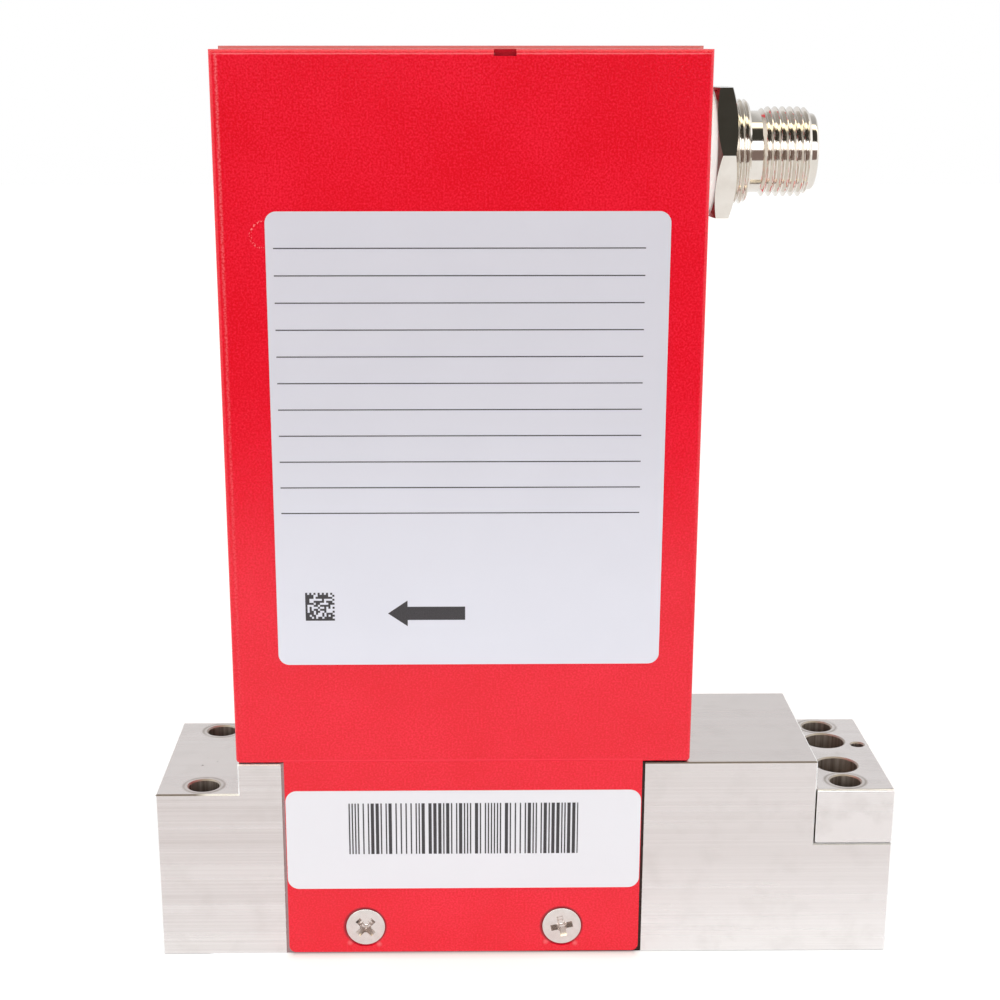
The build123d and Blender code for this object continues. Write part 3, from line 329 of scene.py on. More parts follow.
def makeGroundStainless(name, lineShare, allShine, stainShare):
    # Ground with a wheel: long parallel lines that hold the light, near mirror across them
    s = stainless
    values = {"Metallic": 1.0, "Roughness": s["roughness"][0]}
    material, tree, shader, place = startMaterial(name, values)
    facing = split(tree, addNode(tree, "NewGeometry").outputs["Normal"])
    where = split(tree, place)
    onEnd = spread(tree, magnitude(tree, facing["X"]), *s["slopeFacing"])
    onTop = spread(tree, magnitude(tree, facing["Z"]), *s["slopeFacing"])
    notTop = calc(tree, "SUBTRACT", 1.0, onTop)

    def over(axis, ends, *levels):
        return spread(tree, where[axis], *[v * mm for v in ends], *levels)

    def lines(width):
        # noise drawn out along x, or along y on the end faces
        length = s["lineLength"]
        found = [addStretchedNoise(tree, place, grains, 3.0)
                 for grains in ((length, width, width), (width, length, width))]
        return mixValues(tree, onEnd, *found)

    fine, bands = lines(s["lineWidth"]), lines(s["bandWidth"])
    both = mixValues(tree, 0.5, fine, bands)
    share = spread(tree, onTop, 0.0, 1.0, lineShare, lineShare * s["topShare"])
    streaks = times(tree, calc(tree, "SUBTRACT", both, 0.5), share)
    start, end, fainter = s["calmer"]
    streaks = times(tree, streaks, over("X", (start, end), 1.0, fainter))

    # painted light: the faces run a little brighter towards the inlet end and the foot, and the
    # inlet block a little brighter all over
    (x0, x1, xRise), (z0, z1, outletRise, inletRise), start = s["drift"]
    drift = over("X", (x0, x1), start, start + xRise)
    foot = over("X", s["footX"], outletRise, inletRise)
    drift = calc(tree, "ADD", drift, times(tree, over("Z", (z0, z1)), foot))
    drift = times(tree, drift, notTop)
    drift = calc(tree, "ADD", drift, times(tree, allShine, s["blockLift"]))
    tone = calc(tree, "ADD", calc(tree, "ADD", streaks, drift), 0.5)
    colour = blendColours(tree, spread(tree, tone, 0.0, 1.0), s["dark"], s["pale"])
    cloud = addNoise(tree, place, s["stainSize"], 4.0, Roughness=0.65)
    stained = spread(tree, cloud, *s["stainRange"], 0.0, stainShare)
    colour = blendColours(tree, stained, colour, s["stain"])

    # rub marks of the bolt heads, specks on the outlet end, and the walls of the bores
    def distanceTo(centre, start):
        flat = addNode(tree, "VectorMath", {0: start, 1: (1, 1, 0)}, operation="MULTIPLY")
        return distance(tree, flat.outputs[0], (centre[0] * mm, centre[1] * mm, 0))

    folded = addNode(tree, "VectorMath", {0: place}, operation="ABSOLUTE").outputs[0]
    bolt, port = distanceTo(s["boltHoles"], folded), distanceTo(s["screwHoles"], folded)
    radius, width = s["rubRadius"] * mm, s["rubWidth"] * mm
    rim = magnitude(tree, calc(tree, "SUBTRACT", bolt, radius))
    rim = spread(tree, rim, width, 0.0, 0.0, s["rubRim"])
    rubbed = most(tree, rim, spread(tree, bolt, radius, radius - width, 0.0, s["rubFill"]))
    rubbed = times(tree, times(tree, rubbed, onTop), spread(tree, cloud, *s["rubClouds"]))
    colour = blendColours(tree, rubbed, colour, s["stain"])
    for x, y, r in s["specks"]:
        spot = spread(tree, distanceTo((x, y), place), r * mm, r * mm / 2, 0.0, s["speckShare"])
        colour = blendColours(tree, times(tree, spot, onTop), colour, s["speck"])

    # painted reflection and painted shade on the milled floors beside the tongues: pinkish red from
    # the tongue on the left, dark on the right
    depth = spread(tree, magnitude(tree, where["Y"]), *[v * mm for v in s["grooveDepth"]])
    inGroove = times(tree, depth, spread(tree, magnitude(tree, facing["Y"]), *s["grooveFacing"]))
    floor = blendColours(tree, over("X", s["grooveX"]), *s["grooveReflectionAndShade"])
    colour = blendColours(tree, inGroove, colour, floor)

    leak = distanceTo(s["leakHole"], place)
    holes = (bolt, s["boltRadius"]), (port, s["screwRadius"]), (leak, s["leakRadius"])
    inBore = 0.0
    for away, edge in holes:
        inside = spread(tree, away, *[(edge + v) * mm for v in s["boreFade"]])
        inBore = most(tree, inside, inBore)
    inBore = times(tree, inBore, notTop)
    streak = addStretchedNoise(tree, place, (s["streakWidth"], s["streakWidth"], s["streakLength"]))
    wall = blendColours(tree, spread(tree, streak, *s["streakRange"]), s["boreShade"], s["bore"])
    colour = blendColours(tree, inBore, colour, wall)

    # broken edges, each with a painted highlight or a painted shade by where it lies
    sizes = [magnitude(tree, facing[axis]) for axis in "XYZ"]
    largest = most(tree, most(tree, sizes[0], sizes[1]), sizes[2])
    broken = spread(tree, largest, *s["edgeFacing"])
    broken = times(tree, broken, calc(tree, "SUBTRACT", 1.0, inBore))
    x0, x1, x2, x3 = s["highlightedEdges"]
    highlighted = times(tree, over("X", (x0, x1)), over("X", (x3, x2)))
    highlighted = most(tree, highlighted, spread(tree, sizes[2], *s["sideFacing"]))
    highlighted = most(tree, highlighted, spread(tree, sizes[1], *s["sideFacing"]))
    highlighted = most(tree, highlighted, over("Z", s["ledgeTop"], 0.0, s["ledgeHighlight"]))
    edgeHighlightAndShade = blendColours(tree, most(tree, highlighted, allShine), s["edgeShade"], s["edge"])
    for away, edge in holes:
        near = spread(tree, away, *[(edge + v) * mm for v in s["mouthWidth"]])
        edgeHighlightAndShade = blendColours(tree, near, edgeHighlightAndShade, s["mouth"])
    colour = blendColours(tree, broken, colour, edgeHighlightAndShade)

    # a darker strip along the joint beside the inlet block
    low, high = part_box("inlet_block")
    beside = magnitude(tree, calc(tree, "SUBTRACT", where["X"], low.x))
    beside = spread(tree, beside, s["seamWidth"] * mm, s["seamWidth"] / 2 * mm)
    ends = s["seamEnds"] * mm
    beside = times(tree, beside, spread(tree, where["Z"], low.z, low.z + ends))
    beside = times(tree, beside, spread(tree, where["Z"], high.z, high.z - ends))
    beside = times(tree, beside, over("Y", s["seamDepth"]))
    colour = blendColours(tree, beside, colour, s["seam"])

    rough = spread(tree, bands, 0.3, 0.7, *s["roughness"])
    rough = calc(tree, "ADD", rough, times(tree, rubbed, s["rubRoughness"]))
    rough = mixValues(tree, inBore, rough, s["boreRoughness"])
    rough = mixValues(tree, broken, rough, s["edgeRoughness"])
    setSurface(tree, shader, colour, fine, 0.12, 0.004, rough)
    return material


# connector shell and nut: turned brass with bright nickel plate

nickel = dict(
    pale="#E8E2DA", dark="#DFD8CF", filmSize=2.5, filmRange=(0.35, 0.7),
    roughness=0.07, roughRange=(0.05, 0.11),
    toolMark=0.05, markLength=40,  # mm between tool marks, and along them
    flank=(-0.3, -0.6), flankRoughness=0.13,  # faces turned to the case, by their normal's x
    rearBevelShade="#6B4A46", bevelReach=(0.7, 0.5),  # mm, painted shade with a painted red reflection of the case, on the back edge of the nut
)


def makeBrightNickel():
    # Plated over turned brass: a warm mirror with faint tool rings that drag the highlights
    n = nickel
    values = {"Metallic": 1.0, "Roughness": n["roughness"]}
    material, tree, shader, place = startMaterial("nickelPlatedBrass", values)
    rings = addStretchedNoise(tree, place, (n["toolMark"], n["markLength"], n["markLength"]))
    film = spread(tree, addNoise(tree, place, n["filmSize"], 3.0), *n["filmRange"])
    tint = blendColours(tree, film, n["pale"], n["dark"])
    facing = split(tree, addNode(tree, "NewGeometry").outputs["True Normal"])
    where = split(tree, place)
    # painted shade with a painted red reflection on the back edge of the nut
    flank = spread(tree, facing["X"], *n["flank"])
    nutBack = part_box("connector_nut")[0].x
    atBack = spread(tree, where["X"], *[nutBack + v * mm for v in n["bevelReach"]])
    tint = blendColours(tree, times(tree, flank, atBack), tint, n["rearBevelShade"])
    rough = spread(tree, rings, 0.3, 0.7, *n["roughRange"])
    rough = mixValues(tree, flank, rough, n["flankRoughness"])
    setSurface(tree, shader, tint, rings, 0.05, 0.002, rough)
    return material


# labels: polyester film

labelFilms = {
    # name: colours, share of bare metal in the coat
    "silverPolyester": ("#E8E9F4", "#E6E7F2", 0.27),
    "whitePolyester": ("#EBEBF2", "#EAEAF1", 0.0),
}


def makeLabelFilm(name):
    # Cast film with a satin coat: flat and even, with a very slight tooth
    pale, shade, metalShare = labelFilms[name]
    values = {"Roughness": 0.30, "Metallic": metalShare, "IOR": 1.49}
    material, tree, shader, place = startMaterial(name, values)
    tooth = addNoise(tree, place, 0.12)
    drift = spread(tree, addNoise(tree, place, 14), 0.35, 0.65)
    setSurface(tree, shader, blendColours(tree, drift, pale, shade), tooth, 0.15, 0.003)
    return material


def makeInk():
    # Thermal-transfer print: a thin resin film, charcoal rather than black, duller than the label
    material, tree, shader, place = startMaterial("resinInk", {"Roughness": 0.5})
    speckle = spread(tree, addNoise(tree, place, 0.1, 1.0), 0.3, 0.7)
    tint = blendColours(tree, speckle, "#2E2B2E", "#454246")
    tree.links.new(tint, shader.inputs["Base Color"])
    return material


# the rest of the finishes, most of them inside the case

plainMetals = {
    # name: colours, roughness, line width in mm, line length in line widths along X, Y and Z
    "turnedStainless": ("#D6D1CC", "#C2BCB6", 0.24, 0.08, (20, 20, 1)),
    "screwSteel": ("#B9B4AE", "#A29C95", 0.30, 0.15, (8, 8, 1)),
    "nickelPlatedSteel": ("#E3DCD8", "#DCD4CF", 0.19, 0.2, (4, 1, 4)),
    "bareAluminium": ("#DDDEDF", "#C9CACC", 0.34, 0.12, (30, 30, 1)),
    "goldPlate": ("#F1CE7E", "#DDB45C", 0.14, 0.1, (20, 1, 1)),
}


def makePlainMetal(name):
    # Machined or plated metal: fine marks left by the tool, drawn out along its path
    pale, dark, roughness, width, reach = plainMetals[name]
    values = {"Metallic": 1.0, "Roughness": roughness}
    material, tree, shader, place = startMaterial(name, values)
    marks = addStretchedNoise(tree, place, [width * length for length in reach])
    tint = blendColours(tree, spread(tree, marks, 0.3, 0.7), pale, dark)
    rough = spread(tree, marks, 0.3, 0.7, roughness * 0.85, roughness * 1.15)
    setSurface(tree, shader, tint, marks, 0.08, 0.004, rough)
    return material


mouldedParts = {
    # name: colours, roughness, grain in mm, grain height in mm, emission
    "blackNylon": ("#1D1D1F", "#28282A", 0.48, 0.25, 0.010, 0.0),
    # painted glow: its emission stands in for light that passes through the thin washer, and its
    # pale cyan tint offsets the red light from the case
    "naturalNylon": ("#F4FFFC", "#F0FCF8", 0.45, 0.25, 0.008, 0.50),
    "whiteNylon": ("#ECE9E0", "#E2DED2", 0.45, 0.25, 0.008, 0.0),
    "sealRubber": ("#191919", "#232323", 0.62, 0.15, 0.012, 0.0),
    "piezoCeramic": ("#8C7B5E", "#7C6C52", 0.40, 0.10, 0.006, 0.0),
}
# colour of that painted glow; only the washer gives any off
emissionColour = "#E2FFF9"


def makeMoulded(name):
    # Moulded or pressed without a polish: an even colour with a fine matt tooth
    pale, dark, roughness, grain, height, emission = mouldedParts[name]
    values = {"Roughness": roughness, "Emission Strength": emission}
    values["Emission Color"] = hexColour(emissionColour)
    material, tree, shader, place = startMaterial(name, values)
    tooth = addNoise(tree, place, grain, 3.0)
    tint = blendColours(tree, spread(tree, tooth, 0.35, 0.65), pale, dark)
    setSurface(tree, shader, tint, tooth, 0.3, height)
    return material


def makeCoilWinding():
    # Enamelled copper wire, wound tight: close bright ribs across the coil
    values = {"Metallic": 0.9, "Roughness": 0.3}
    material, tree, shader, place = startMaterial("enamelledCopper", values)
    turns = {"Vector": place, "Scale": 1 / (0.16 * mm * 6.2832), "Distortion": 0.0}
    wave = addNode(tree, "TexWave", turns, wave_type="BANDS", bands_direction="X").outputs["Fac"]
    setSurface(tree, shader, blendColours(tree, wave, "#6B2E14", "#B8642F"), wave, 0.8, 0.05)
    return material


def makeCircuitBoard():
    # Glass laminate under green solder mask: tracks show as paler ribs below a glossy skin
    material, tree, shader, place = startMaterial("solderMaskedLaminate", {"Roughness": 0.28})
    cells = {"Vector": place, "Scale": 1 / (2.6 * mm)}
    tracks = addNode(tree, "TexVoronoi", cells, feature="DISTANCE_TO_EDGE")
    track = spread(tree, tracks.outputs["Distance"], 0.10, 0.07)
    setSurface(tree, shader, blendColours(tree, track, "#0C4A2B", "#1D6B40"), track, 0.5, 0.03)
    return material


redPaint = makePowderCoat()
bodySteel = makeGroundStainless("groundStainless", 1.0, 0.0, 0.15)
blockSteel = makeGroundStainless("lappedStainless", 0.35, 1.0, 0.25)
plating = makeBrightNickel()
silverFilm, whiteFilm = [makeLabelFilm(name) for name in labelFilms]
ink = makeInk()
metal = {name: makePlainMetal(name) for name in plainMetals}
moulded = {name: makeMoulded(name) for name in mouldedParts}
copperWire = makeCoilWinding()
board = makeCircuitBoard()

finishes = {
    "flow_body": bodySteel, "inlet_block": blockSteel,
    "front_cover": redPaint, "rear_cover": redPaint,
    "rating_label": silverFilm, "barcode_label": whiteFilm,
    "connector_shell": plating, "connector_nut": plating,
    "connector_washer": moulded["naturalNylon"],
    "connector_insert": moulded["blackNylon"], "connector_pins": metal["goldPlate"],
    "connector_gasket": moulded["sealRubber"], "cover_screws": metal["nickelPlatedSteel"],
    "inlet_block_screws": metal["screwSteel"], "valve_screws": metal["screwSteel"],
    "sensor_screws": metal["screwSteel"], "pressure_sensor_screws": metal["screwSteel"],
    "board_screws": metal["screwSteel"], "board_spacers": metal["nickelPlatedSteel"],
    "valve_body": metal["turnedStainless"], "valve_seat": metal["turnedStainless"],
    "valve_diaphragm": metal["turnedStainless"], "valve_plunger": metal["turnedStainless"],
    "valve_ball": metal["screwSteel"], "stack_end_caps": metal["turnedStainless"],
    "piezo_stack": moulded["piezoCeramic"], "preload_screw": metal["turnedStainless"],
    "preload_nut": metal["turnedStainless"], "sensor_base": metal["turnedStainless"],
    "sensor_seals": metal["nickelPlatedSteel"], "sensor_tube": metal["turnedStainless"],
    "sensor_coils": copperWire, "sensor_case": metal["bareAluminium"],
    "bypass_element": metal["turnedStainless"], "bypass_seal": metal["nickelPlatedSteel"],
    "pressure_sensor": metal["turnedStainless"], "pressure_sensor_seal": moulded["sealRubber"],
    "pressure_sensor_clamp": metal["turnedStainless"], "board_bracket": metal["bareAluminium"],
    "main_board": board, "link_board": board, "board_chips": moulded["blackNylon"],
    "board_capacitors": metal["bareAluminium"], "power_inductor": moulded["blackNylon"],
    "board_plugs": moulded["whiteNylon"], "board_link": moulded["blackNylon"],
}
for name, node in nodes.items():
    for materialSlot in node.material_slots:
        materialSlot.material = finishes[name]
print("finishes on", len(finishes), "nodes")


# bus connector shell: turned in one piece, with the mounting thread and the plug thread cut on it

shell = dict(
    flangeRadius=8.95, flangeThickness=2.5,
    barrelRadius=6.95, barrelPitch=0.75, barrelLength=6.45, barrelBevel=0.4,  # from the case wall
    neckRadius=5.4, neckEnd=8.1,
    threadRadius=5.95, threadPitch=1.0, threadEnd=14.65, threadStart=0.55, threadLead=0.4,
    noseRadius=5.05, noseEnd=15.65, noseBevel=0.4, lipRound=0.15,
    boreRadius=4.4,
    depthShare=0.6134, crestShare=0.125, flankShare=0.354,  # of the pitch, for a metric thread
    ringsPerTurn=20, pointsAround=120,
    keyWidth=1.0, keyHeight=0.65, keyLength=6.0, keySetback=1.2, keyRoot=0.1,
)


def threadDip(turns):
    # how far a metric thread lies below its crest, as a share of its depth
    off = abs(turns - round(turns))
    return min(1.0, max(0.0, (off - shell["crestShare"] / 2) / shell["flankShare"]))


def makeConnectorShell():
    s = shell
    low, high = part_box("connector_shell")
    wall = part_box("front_cover")[1].x / mm
    axis = (low.z + high.z) / 2
    back = low.x / mm
    flangeFace = back + s["flangeThickness"]
    barrelEnd, neckEnd = wall + s["barrelLength"], wall + s["neckEnd"]
    threadEnd, noseEnd = wall + s["threadEnd"], wall + s["noseEnd"]
    rings = [(back, s["boreRadius"], None), (back, s["flangeRadius"], None)]
    rings.append((flangeFace, s["flangeRadius"], None))

    def cutThread(x0, x1, radius, pitch, lead, bevels):
        count = int((x1 - x0) / pitch * s["ringsPerTurn"])
        for step in range(count + 1):
            x = x0 + (x1 - x0) * step / count
            top = radius - max(0.0, bevels[0] - (x - x0)) - max(0.0, bevels[1] - (x1 - x))
            rings.append((x, top, (radius, pitch, lead)))

    bevels = (0.0, s["barrelBevel"])
    cutThread(flangeFace, barrelEnd, s["barrelRadius"], s["barrelPitch"], 0.0, bevels)
    rings.append((barrelEnd, s["neckRadius"], None))
    rings.append((neckEnd, s["neckRadius"], None))
    bevels = (s["threadStart"], s["threadStart"])
    cutThread(neckEnd, threadEnd, s["threadRadius"], s["threadPitch"], s["threadLead"], bevels)
    rings.append((threadEnd, s["noseRadius"], None))
    bevelStart = noseEnd - s["noseBevel"]
    for step in range(7):  # rounded outer lip of the nose
        turn = radians(15 * step)
        x = bevelStart + s["noseBevel"] * sin(turn)
        rings.append((x, s["noseRadius"] - s["noseBevel"] * (1 - cos(turn)), None))
    for step in range(4):  # small round into the bore
        turn = radians(30 * step)
        x = noseEnd - s["lipRound"] * (1 - cos(turn))
        rings.append((x, s["boreRadius"] + s["lipRound"] * (1 - sin(turn)), None))

    points, faces = [], []
    around = s["pointsAround"]
    for x, radius, thread in rings:
        for step in range(around):
            share = step / around
            r = radius
            if thread:
                major, pitch, lead = thread
                dip = threadDip((x - lead) / pitch + share) * s["depthShare"] * pitch
                r = min(radius, major - dip)
            turn = 2 * pi * share
            points.append((x * mm, r * sin(turn) * mm, axis + r * cos(turn) * mm))
    for ring in range(len(rings)):
        for step in range(around):
            here, there = ring * around, (ring + 1) % len(rings) * around
            after = (step + 1) % around
            faces.append((here + step, there + step, there + after, here + after))
    mesh = meshFrom("connectorShell", points, faces, smoothAngle=38)
    piece = newPiece("connectorShell", mesh, plating)
    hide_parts("connector_shell")
    return piece


def makeKeyRib():
    # rib at the top of the socket that lets a plug in one way round only
    s = shell
    low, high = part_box("connector_shell")
    axis = (low.z + high.z) / 2 / mm
    x1 = high.x / mm - s["keySetback"]
    x0 = x1 - s["keyLength"]
    half = s["keyWidth"] / 2
    root = s["boreRadius"] + s["keyRoot"]
    outline = [(-half, root), (half, root)]
    for step in range(9):
        turn = pi * step / 8
        rise = half * (1 - sin(turn)) * 0.5
        outline.append((half * cos(turn), s["boreRadius"] - s["keyHeight"] + rise))
    points = [(x * mm, y * mm, (axis + z) * mm) for x in (x0, x1) for y, z in outline]
    count = len(outline)
    sides = [(i, (i + 1) % count, count + (i + 1) % count, count + i) for i in range(count)]
    faces = sides + [tuple(range(count - 1, -1, -1)), tuple(range(count, 2 * count))]
    mesh = meshFrom("socketKey", points, faces, smoothAngle=50)
    return newPiece("socketKey", mesh, plating)


makeConnectorShell()
makeKeyRib()
print("connector threaded")


# plate behind the notch in the top edge, a guess that makes the notch show red and not black; its
# front takes the painted shade of the notch

notchPlate = dict(width=3.6, back=(-12.4, -12.2), height=(124.9, 125.85))  # mm


def makeNotchShadePlate():
    low, high = powderCoat["notchX"]
    middle, half = (low + high) / 2, notchPlate["width"] / 2
    ends = (middle - half, middle + half)
    corners = [(x * mm, y * mm, z * mm) for z in notchPlate["height"] for y in notchPlate["back"] for x in ends]
    faces = [(0, 1, 5, 4), (1, 3, 7, 5), (3, 2, 6, 7), (2, 0, 4, 6), (4, 5, 7, 6), (2, 3, 1, 0)]
    return newPiece("notchShadePlate", meshFrom("notchShadePlate", corners, faces), redPaint)


makeNotchShadePlate()
print("notch backed")


# cover screws: countersunk, with a cross recess

def revolve(outline, count):
    # closed solid from an outline of (radius, z), both ends on the axis
    points, faces = [(0, 0, outline[0][1])], []
    turns = [2 * pi * i / count for i in range(count)]
    for radius, z in outline[1:-1]:
        points += [(radius * cos(turn), radius * sin(turn), z) for turn in turns]
    points.append((0, 0, outline[-1][1]))
    last = len(points) - 1
    for i in range(count):
        after = (i + 1) % count
        faces.append((0, 1 + after, 1 + i))
        for ring in range(len(outline) - 3):
            a, b = 1 + ring * count, 1 + (ring + 1) * count
            faces.append((a + i, a + after, b + after, b + i))
        a = 1 + (len(outline) - 3) * count
        faces.append((a + i, a + after, last))
    return points, faces


def taperedBar(span, width, spanDeep, widthDeep, top, depth):
    points = []
    for half, wide, z in ((span / 2, width / 2, top), (spanDeep / 2, widthDeep / 2, -depth)):
        points += [(-half, -wide, z), (half, -wide, z), (half, wide, z), (-half, wide, z)]
    faces = [(0, 1, 2, 3), (7, 6, 5, 4), (0, 4, 5, 1), (1, 5, 6, 2), (2, 6, 7, 3), (3, 7, 4, 0)]
    return points, faces


def cutAway(points, faces, cutters):
    # solid minus each cutter, as points and faces
    body = bpy.data.objects.new("blank", meshFrom("blank", points, faces))
    bpy.context.scene.collection.objects.link(body)
    extras = [body]
    for cutPoints, cutFaces in cutters:
        cutter = bpy.data.objects.new("cutter", meshFrom("cutter", cutPoints, cutFaces))
        bpy.context.scene.collection.objects.link(cutter)
        cut = body.modifiers.new("cut", "BOOLEAN")
        cut.object, cut.operation, cut.solver = cutter, "DIFFERENCE", "EXACT"
        extras.append(cutter)
    found = body.evaluated_get(bpy.context.evaluated_depsgraph_get()).to_mesh()
    cutMesh = [tuple(v.co) for v in found.vertices], [tuple(f.vertices) for f in found.polygons]
    for extra in extras:
        bpy.data.objects.remove(extra)
    return cutMesh


def makeCoverScrews():
    s = screw
    r, q = s["headRadius"], s["rimRound"]
    outline = [(0, 0), (r - q, 0)]
    outline += [(r - q + q * sin(radians(a)), -q * (1 - cos(radians(a)))) for a in (30, 60, 90)]
    outline += [(r, -s["rim"]), (s["shankRadius"], -s["rim"] - r + s["shankRadius"])]
    outline += [(s["shankRadius"], -s["length"]), (0, -s["length"])]
    points, faces = revolve(outline, s["pointsAround"])
    faces = [tuple(reversed(f)) for f in faces]
    over = 0.1  # mm that the cutters stand above the head
    slope = (s["wingSpan"] - s["wingSpanDeep"]) / s["recessDepth"]
    bar = (s["wingSpan"] + over * slope, s["wingWidth"], s["wingSpanDeep"], s["wingWidthDeep"])
    first = taperedBar(*bar, over, s["recessDepth"])
    second = ([(-y, x, z) for x, y, z in first[0]], first[1])
    core = [(0, over), (s["coreRadius"], over)]
    core += [(s["coreRadiusDeep"], -s["coreDepth"] + s["coreTip"]), (0, -s["coreDepth"])]
    core = revolve(core, s["pointsAroundCore"])
    core = (core[0], [tuple(reversed(f)) for f in core[1]])
    points, faces = cutAway(points, faces, [first, second, core])

    low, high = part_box("cover_screws")
    middle, height = (low.x + high.x) / 2, (low.z + high.z) / 2
    half = (high.x - low.x) / 2 - r * mm
    allPoints, allFaces = [], []
    for y, outward in ((low.y, -1), (high.y, 1)):
        for side, turn in zip((-1, 1), s["turns"]):
            axes = Matrix(((-outward, 0, 0), (0, 0, outward), (0, 1, 0)))
            spin = Matrix.Rotation(radians(turn), 3, "Z")
            start = len(allPoints)
            centre = Vector((middle + side * half, y, height))
            allPoints += [centre + axes @ (spin @ Vector(p)) * mm for p in points]
            allFaces += [tuple(start + i for i in f) for f in faces]
    mesh = meshFrom("coverScrews", allPoints, allFaces, smoothAngle=35)
    piece = newPiece("coverScrews", mesh, metal["nickelPlatedSteel"])
    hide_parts("cover_screws")
    return piece


makeCoverScrews()
print("cover screws cut")


# print on the two labels: ruled lines, a flow arrow and two generic codes

printing = dict(
    thickness=0.015,  # mm of ink over the film
    ruleX=(-33.4, 15.0), ruleTop=101.4, rulePitch=3.54, ruleCount=11, ruleWidth=0.15,
    arrowTip=-19.2, arrowNeck=-16.5, arrowEnd=-8.6, arrowZ=51.8, arrowHead=3.7, arrowShaft=1.9,
    codeX=-30.5, codeZ=50.8, codeSize=4.0, codeCells=14,
    barsX=(-25.2, 7.4), barsZ=(15.8, 23.6), barUnit=0.19,
)


def rectangle(x0, x1, z0, z1):
    return [(x0, z0), (x1, z0), (x1, z1), (x0, z1)]


def printShapes(name, label, shapes):
    # thin plates of ink on the front of a label
    y0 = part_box(label)[0].y
    y1 = y0 - printing["thickness"] * mm
    points, faces = [], []
    for shape in shapes:
        start, count = len(points), len(shape)
        points += [(x * mm, y, z * mm) for y in (y0, y1) for x, z in shape]
        faces.append(tuple(start + count + i for i in range(count)))
        faces.append(tuple(start + i for i in reversed(range(count))))
        for i in range(count):
            after = (i + 1) % count
            faces.append((start + i, start + after, start + count + after, start + count + i))
    return newPiece(name, meshFrom(name, points, faces), ink)


def makePrint():
    p = printing
    half = p["ruleWidth"] / 2
    levels = [p["ruleTop"] - p["rulePitch"] * row for row in range(p["ruleCount"])]
    rules = [rectangle(*p["ruleX"], z - half, z + half) for z in levels]
    printShapes("ruledLines", "rating_label", rules)

    z, head, shaft = p["arrowZ"], p["arrowHead"] / 2, p["arrowShaft"] / 2
    arrow = [(p["arrowTip"], z), (p["arrowNeck"], z - head), (p["arrowNeck"], z - shaft)]
    arrow += [(p["arrowEnd"], z - shaft), (p["arrowEnd"], z + shaft), (p["arrowNeck"], z + shaft)]
    arrow += [(p["arrowNeck"], z + head)]
    printShapes("flowArrow", "rating_label", [arrow])

    cells, count, size = [], p["codeCells"], p["codeSize"] / p["codeCells"]
    for row in range(count):
        for column in range(count):
            border = column == 0 or row == 0
            timing = row == count - 1 and column % 2 == 0 or column == count - 1 and row % 2 == 0
            inside = 0 < row < count - 1 and 0 < column < count - 1
            if border or timing or (inside and random.random() < 0.5):
                x, z = p["codeX"] + column * size, p["codeZ"] + row * size
                cells.append(rectangle(x, x + size, z, z + size))
    printShapes("squareCode", "rating_label", cells)

    bars, x = [], p["barsX"][0]
    while x < p["barsX"][1]:
        wide = random.choice((1, 1, 2.4)) * p["barUnit"]
        bars.append(rectangle(x, min(x + wide, p["barsX"][1]), *p["barsZ"]))
        x += wide + random.choice((1, 1, 2.2)) * p["barUnit"] * 1.25
    printShapes("barCode", "barcode_label", bars)


makePrint()
print("labels printed")


# floor, world and camera

stage = dict(
    floorX=(-1500, 1500), floorY=(-280, 1500),  # mm, a table whose near edge is behind the camera
    glow=0.68,  # the share of its white that shadow can't take away
    bounce=0.42,  # the same share as it lights the object
    shine=0.61, shineColour="#F4F9FF",  # and as shiny faces show it
    tableColour="#B5B4B4",
    contact=(2.2, 0.15), contactX=(-33.5, 15.7),  # mm, shade under the tongue, and the white left
)


def makeFloor():
    (x0, x1), (y0, y1) = stage["floorX"], stage["floorY"]
    points = [(x * mm, y * mm, 0) for x, y in ((x0, y0), (x1, y0), (x1, y1), (x0, y1))]
    floor = bpy.data.objects.new("floor", meshFrom("floor", points, [(0, 1, 2, 3)]))
    bpy.context.scene.collection.objects.link(floor)
    material = bpy.data.materials.new("whiteTable")
    material.use_nodes = True
    tree = material.node_tree
    tree.nodes.remove(tree.nodes["Principled BSDF"])
    matt = addNode(tree, "BsdfDiffuse", {"Color": hexColour(stage["tableColour"])})
    rays = addNode(tree, "LightPath").outputs
    seen = calc(tree, "MAXIMUM", rays["Is Camera Ray"], rays["Is Transmission Ray"])
    reach, left = stage["contact"]
    unshaded = addNode(tree, "AmbientOcclusion", {"Distance": reach * mm}).outputs["AO"]
    where = split(tree, addNode(tree, "TexCoord").outputs["Object"])
    underTongue = between(tree, where["X"], *stage["contactX"], fade=1.0)
    unshaded = spread(tree, unshaded, 0.0, 1.0, left, 1.0)
    unshaded = mixValues(tree, underTongue, 1.0, unshaded)
    white = calc(tree, "MULTIPLY", unshaded, stage["glow"])
    glow = mixValues(tree, seen, stage["bounce"], white)
    glow = mixValues(tree, rays["Is Glossy Ray"], glow, stage["shine"])
    tint = blendColours(tree, rays["Is Glossy Ray"], "#FFFFFF", stage["shineColour"])
    lit = addNode(tree, "Emission", {"Color": tint, "Strength": glow})
    both = addNode(tree, "AddShader", {0: matt.outputs[0], 1: lit.outputs[0]})
    tree.links.new(both.outputs[0], tree.nodes["Material Output"].inputs["Surface"])
    floor.data.materials.append(material)


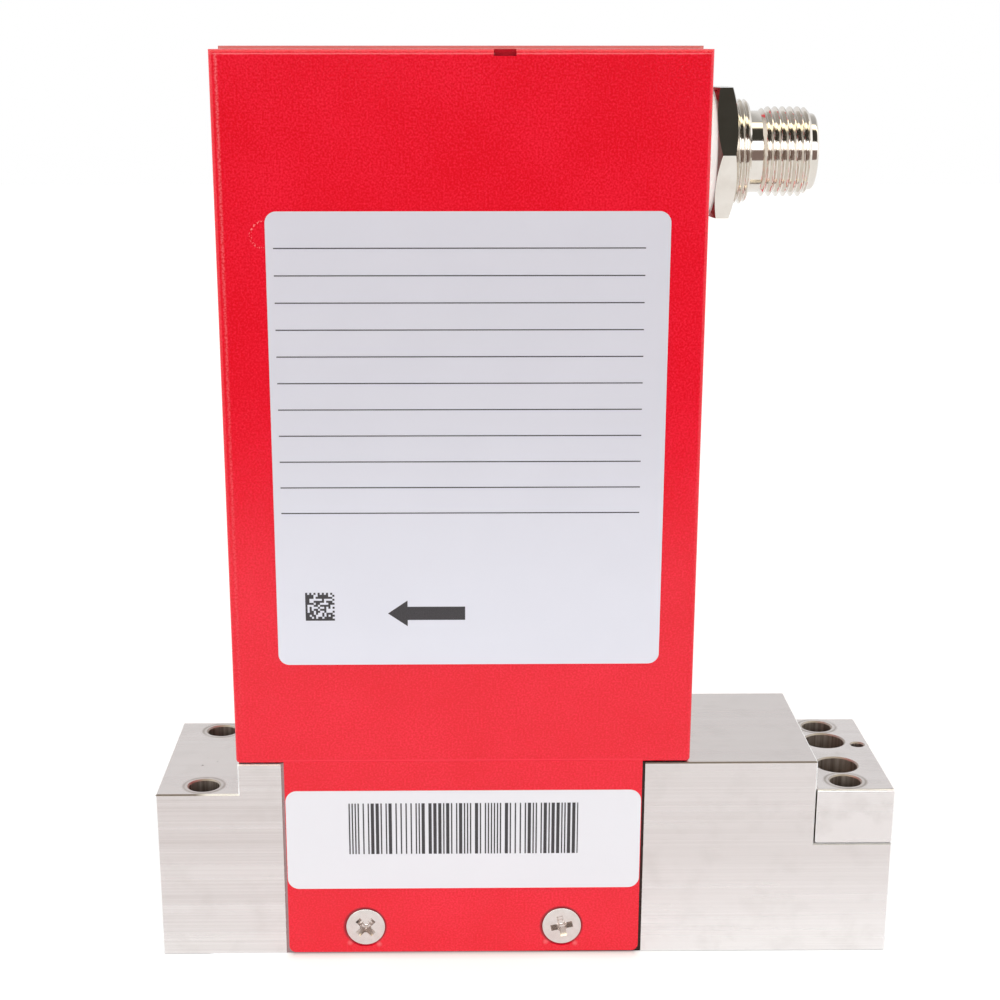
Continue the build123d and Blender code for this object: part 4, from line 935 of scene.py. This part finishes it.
# light by direction in degrees round the X axis: 0 is level towards the camera, 90 is overhead
studio = [
    (-180, "#F0F0F0", 1.0), (-90, "#F4F1EC", 1.0), (-26, "#F4F1EC", 1.0),
    (-21, "#8C7A74", 1.0), (6, "#8C7A74", 1.0),  # the dark room behind the camera
    (10, "#FDFEFF", 2.8), (31, "#FDFEFF", 2.8),  # wide soft box over the camera
    (34, "#42403B", 1.0), (69, "#42403B", 1.0),  # dark ceiling
    (77, "#FFF6D8", 3.0), (88, "#FFF6D8", 3.0),  # narrow tube lamp overhead
    (95, "#B4B4B4", 1.0), (130, "#C8C8C8", 1.0), (155, "#F0F0F0", 1.0), (180, "#F0F0F0", 1.0),
]

sides = dict(
    reach=(0.55, 0.85), power=1.25,  # white panels left and right, by the x part of the direction
    behind=(1.06, 0.94),  # a little more light from the left than from the right
)


def makeWorld():
    world = bpy.data.worlds.new("softStudio")
    bpy.context.scene.world = world
    world.use_nodes = True
    tree = world.node_tree
    way = addNode(tree, "SeparateXYZ", {0: addNode(tree, "TexCoord").outputs["Generated"]})
    toCamera = calc(tree, "MULTIPLY", way.outputs["Y"], -1.0)
    angle = calc(tree, "ARCTAN2", way.outputs["Z"], toCamera)
    ramp = addNode(tree, "ValToRGB", {"Fac": spread(tree, angle, -pi, pi)})
    strength = addNode(tree, "ValToRGB", {"Fac": spread(tree, angle, -pi, pi)})
    brightest = max(power for turn, colour, power in studio)
    for band, scaled in ((ramp, False), (strength, True)):
        stops = band.color_ramp.elements
        while len(stops) > 1:
            stops.remove(stops[-1])
        for index, (turn, colour, power) in enumerate(studio):
            share = (turn + 180) / 360
            stop = stops[0] if index == 0 else stops.new(share)
            stop.position = share
            stop.color = [power / brightest] * 3 + [1.0] if scaled else hexColour(colour)
    power = calc(tree, "MULTIPLY", strength.outputs["Color"], brightest)
    power = times(tree, power, spread(tree, way.outputs["X"], -0.3, 0.3, *sides["behind"]))
    light = tree.nodes["Background"]
    tree.links.new(ramp.outputs["Color"], light.inputs["Color"])
    tree.links.new(power, light.inputs["Strength"])
    beside = spread(tree, calc(tree, "ABSOLUTE", way.outputs["X"]), *sides["reach"])
    panel = addNode(tree, "Background", {"Color": (1, 1, 1, 1), "Strength": sides["power"]})
    light = addNode(tree, "MixShader", {0: beside, 1: light.outputs[0], 2: panel.outputs[0]})
    white = addNode(tree, "Background", {"Color": (1, 1, 1, 1), "Strength": 1.0})
    seen = addNode(tree, "LightPath").outputs["Is Camera Ray"]
    both = addNode(tree, "MixShader", {0: seen, 1: light.outputs[0], 2: white.outputs[0]})
    tree.links.new(both.outputs[0], tree.nodes["World Output"].inputs["Surface"])


lens = dict(
    place=(-9.89, -254.15, 126.66),  # mm
    tilt=73.543, turn=-0.73, length=65.79, shift=(0.022, 0.085),
)


def makeCamera():
    data = bpy.data.cameras.new("camera")
    data.sensor_width, data.lens = 36, lens["length"]
    data.shift_x, data.shift_y = lens["shift"]
    camera = bpy.data.objects.new("camera", data)
    bpy.context.scene.collection.objects.link(camera)
    camera.location = [v * mm for v in lens["place"]]
    camera.rotation_euler = (radians(lens["tilt"]), 0, radians(lens["turn"]))
    bpy.context.scene.camera = camera


makeFloor()
makeWorld()
makeCamera()
bpy.context.scene.view_settings.view_transform = "Standard"
print("stage set")
